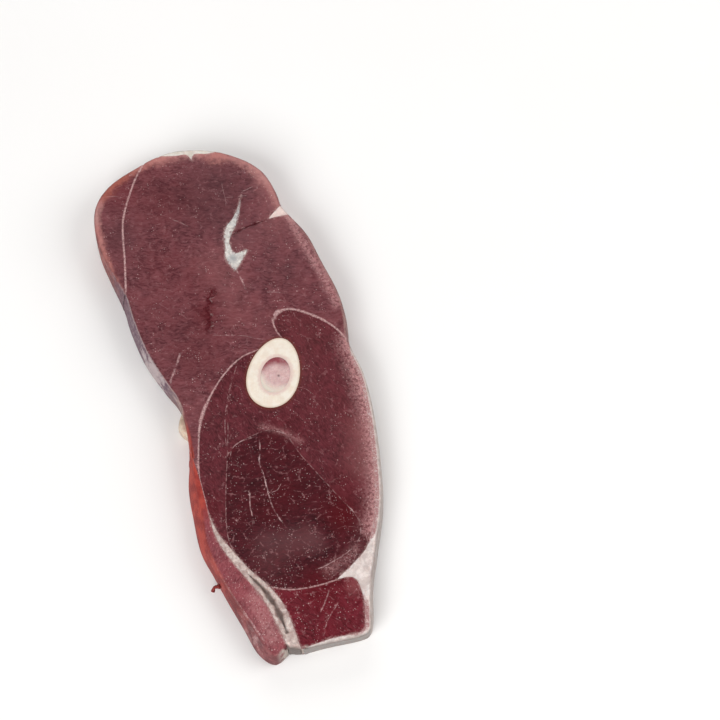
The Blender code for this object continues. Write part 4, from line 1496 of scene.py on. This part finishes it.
def buildShred():
    # a tapered strand along a bent path, closed at both ends
    spine = smoothLine(np.array([[*atShare(u, v), z] for u, v, z in shredPlan["path"]]))
    marks = np.linspace(0, 1, len(shredPlan["thick"]))
    thick = np.interp(np.linspace(0, 1, len(spine)), marks, shredPlan["thick"])
    thick[-1] *= shredPlan["tip"]
    sideStep, ringStep = shredPlan["lumpSteps"]
    verts = [tuple(spine[0])]
    faces = []
    count = shredPlan["sides"]
    for index, (middle, radius) in enumerate(zip(spine, thick)):
        ahead = Vector(spine[min(index + 1, len(spine) - 1)] - spine[max(index - 1, 0)]).normalized()
        across = ahead.cross(Vector((0, 0, 1))).normalized()
        upward = across.cross(ahead)
        for side in range(count):
            angle = 2 * math.pi * side / count
            lump = 1.0 + shredPlan["lump"] * math.sin(sideStep * side + ringStep * index)
            verts.append(tuple(Vector(middle) + (across * math.cos(angle) + upward * math.sin(angle))
                               * radius * lump))
    verts.append(tuple(spine[-1]))
    rings = len(spine)
    lastRing = 1 + (rings - 1) * count
    for side in range(count):
        following = (side + 1) % count
        faces.append((0, 1 + following, 1 + side))
        faces.append((len(verts) - 1, lastRing + side, lastRing + following))
        for ring in range(rings - 1):
            first = 1 + ring * count
            above = first + count
            faces.append((first + side, first + following, above + following, above + side))
    mesh = bpy.data.meshes.new("flankShred")
    mesh.from_pydata([tuple(c * 0.001 for c in vert) for vert in verts], [], faces)
    fixed = bmesh.new()
    fixed.from_mesh(mesh)
    bmesh.ops.recalc_face_normals(fixed, faces=fixed.faces)
    fixed.to_mesh(mesh)
    fixed.free()
    mesh.materials.append(makeShredLook())
    mesh.shade_smooth()
    piece = addObject("flankShred", mesh)
    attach(piece, "root")
    print("built flankShred", len(mesh.vertices), "vertices")


def makeShredLook():
    material, tree, shader, vector = startMaterial("rawShred")
    patches = noise(tree, vector, 1.2, 3.0, 0.6)
    colour = blendTint(tree, band(tree, patches, 0.35, 0.65), hexTint(shredPlan["dark"]),
                       hexTint(shredPlan["red"]))
    tree.links.new(colour, shader.inputs["Base Color"])
    addWet(tree, shader, vector, 0.5, 0.3, 0.5)
    addBump(tree, shader, patches, 0.0002, 0.5)
    shader.inputs["Specular IOR Level"].default_value = 0.25
    return material


buildShred()


studio = dict(worldStrength=0.22, floorTint="#f4f2f0", floorCloud="#f7f6f5", floorSize=3.0)
# place in metres from the chop's middle, size in metres, power in watts
lamps = {
    "keyLamp": dict(place=(-0.75, -0.75, 0.95), size=0.9, power=15.6),
    "fillLamp": dict(place=(0.95, -0.35, 0.85), size=1.0, power=9.2),
    "backLamp": dict(place=(0.15, 0.85, 0.45), size=0.8, power=3.8),
}


def makeFloor():
    half = studio["floorSize"] / 2.0
    mesh = bpy.data.meshes.new("floor")
    mesh.from_pydata([(-half, -half, 0), (half, -half, 0), (half, half, 0), (-half, half, 0)],
                     [], [(0, 1, 2, 3)])
    floor = addObject("floor", mesh)
    material, tree, shader, vector = startMaterial("paleFloor")
    cloud = noise(tree, vector, 0.01, 2.0)
    colour = blendTint(tree, cloud, hexTint(studio["floorTint"]), hexTint(studio["floorCloud"]))
    tree.links.new(colour, shader.inputs["Base Color"])
    shader.inputs["Roughness"].default_value = 0.9
    shader.inputs["Specular IOR Level"].default_value = 0.1
    mesh.materials.append(material)


def makeLight():
    world = bpy.data.worlds.new("studioWorld")
    bpy.context.scene.world = world
    world.use_nodes = True
    background = world.node_tree.nodes["Background"].inputs
    background["Color"].default_value = (1.0, 1.0, 1.0, 1.0)
    background["Strength"].default_value = studio["worldStrength"]
    for name, plan in lamps.items():
        data = bpy.data.lights.new(name, "AREA")
        data.size = plan["size"]
        data.energy = plan["power"]
        lamp = addObject(name, data)
        lamp.location = plan["place"]
        lamp.rotation_euler = (-Vector(plan["place"])).to_track_quat("-Z", "Y").to_euler()


# angles in degrees, distance in metres, lens and sensor in mm, aim in shares of the chop's box
cameraPlan = dict(azimuth=-18.0, elevation=68.5, distance=0.57792, lens=80.0, sensor=36.0,
                  aim=(0.979, 0.478), aimHeight=0.9375)


def makeCamera():
    data = bpy.data.cameras.new("camera")
    data.lens = cameraPlan["lens"]
    data.sensor_width = cameraPlan["sensor"]
    data.clip_start = 0.01
    camera = addObject("camera", data)
    aim = atShare(*cameraPlan["aim"])
    look = Vector((aim[0], aim[1], cadHigh[2] * cameraPlan["aimHeight"])) * 0.001
    azimuth = math.radians(cameraPlan["azimuth"])
    elevation = math.radians(cameraPlan["elevation"])
    back = Vector((math.sin(azimuth) * math.cos(elevation), -math.cos(azimuth) * math.cos(elevation),
                   math.sin(elevation)))
    camera.location = look + back * cameraPlan["distance"]
    camera.rotation_euler = back.to_track_quat("Z", "Y").to_euler()
    bpy.context.scene.camera = camera


makeFloor()
makeLight()
makeCamera()
bpy.context.scene.view_settings.view_transform = "Standard"
print("stage ready")
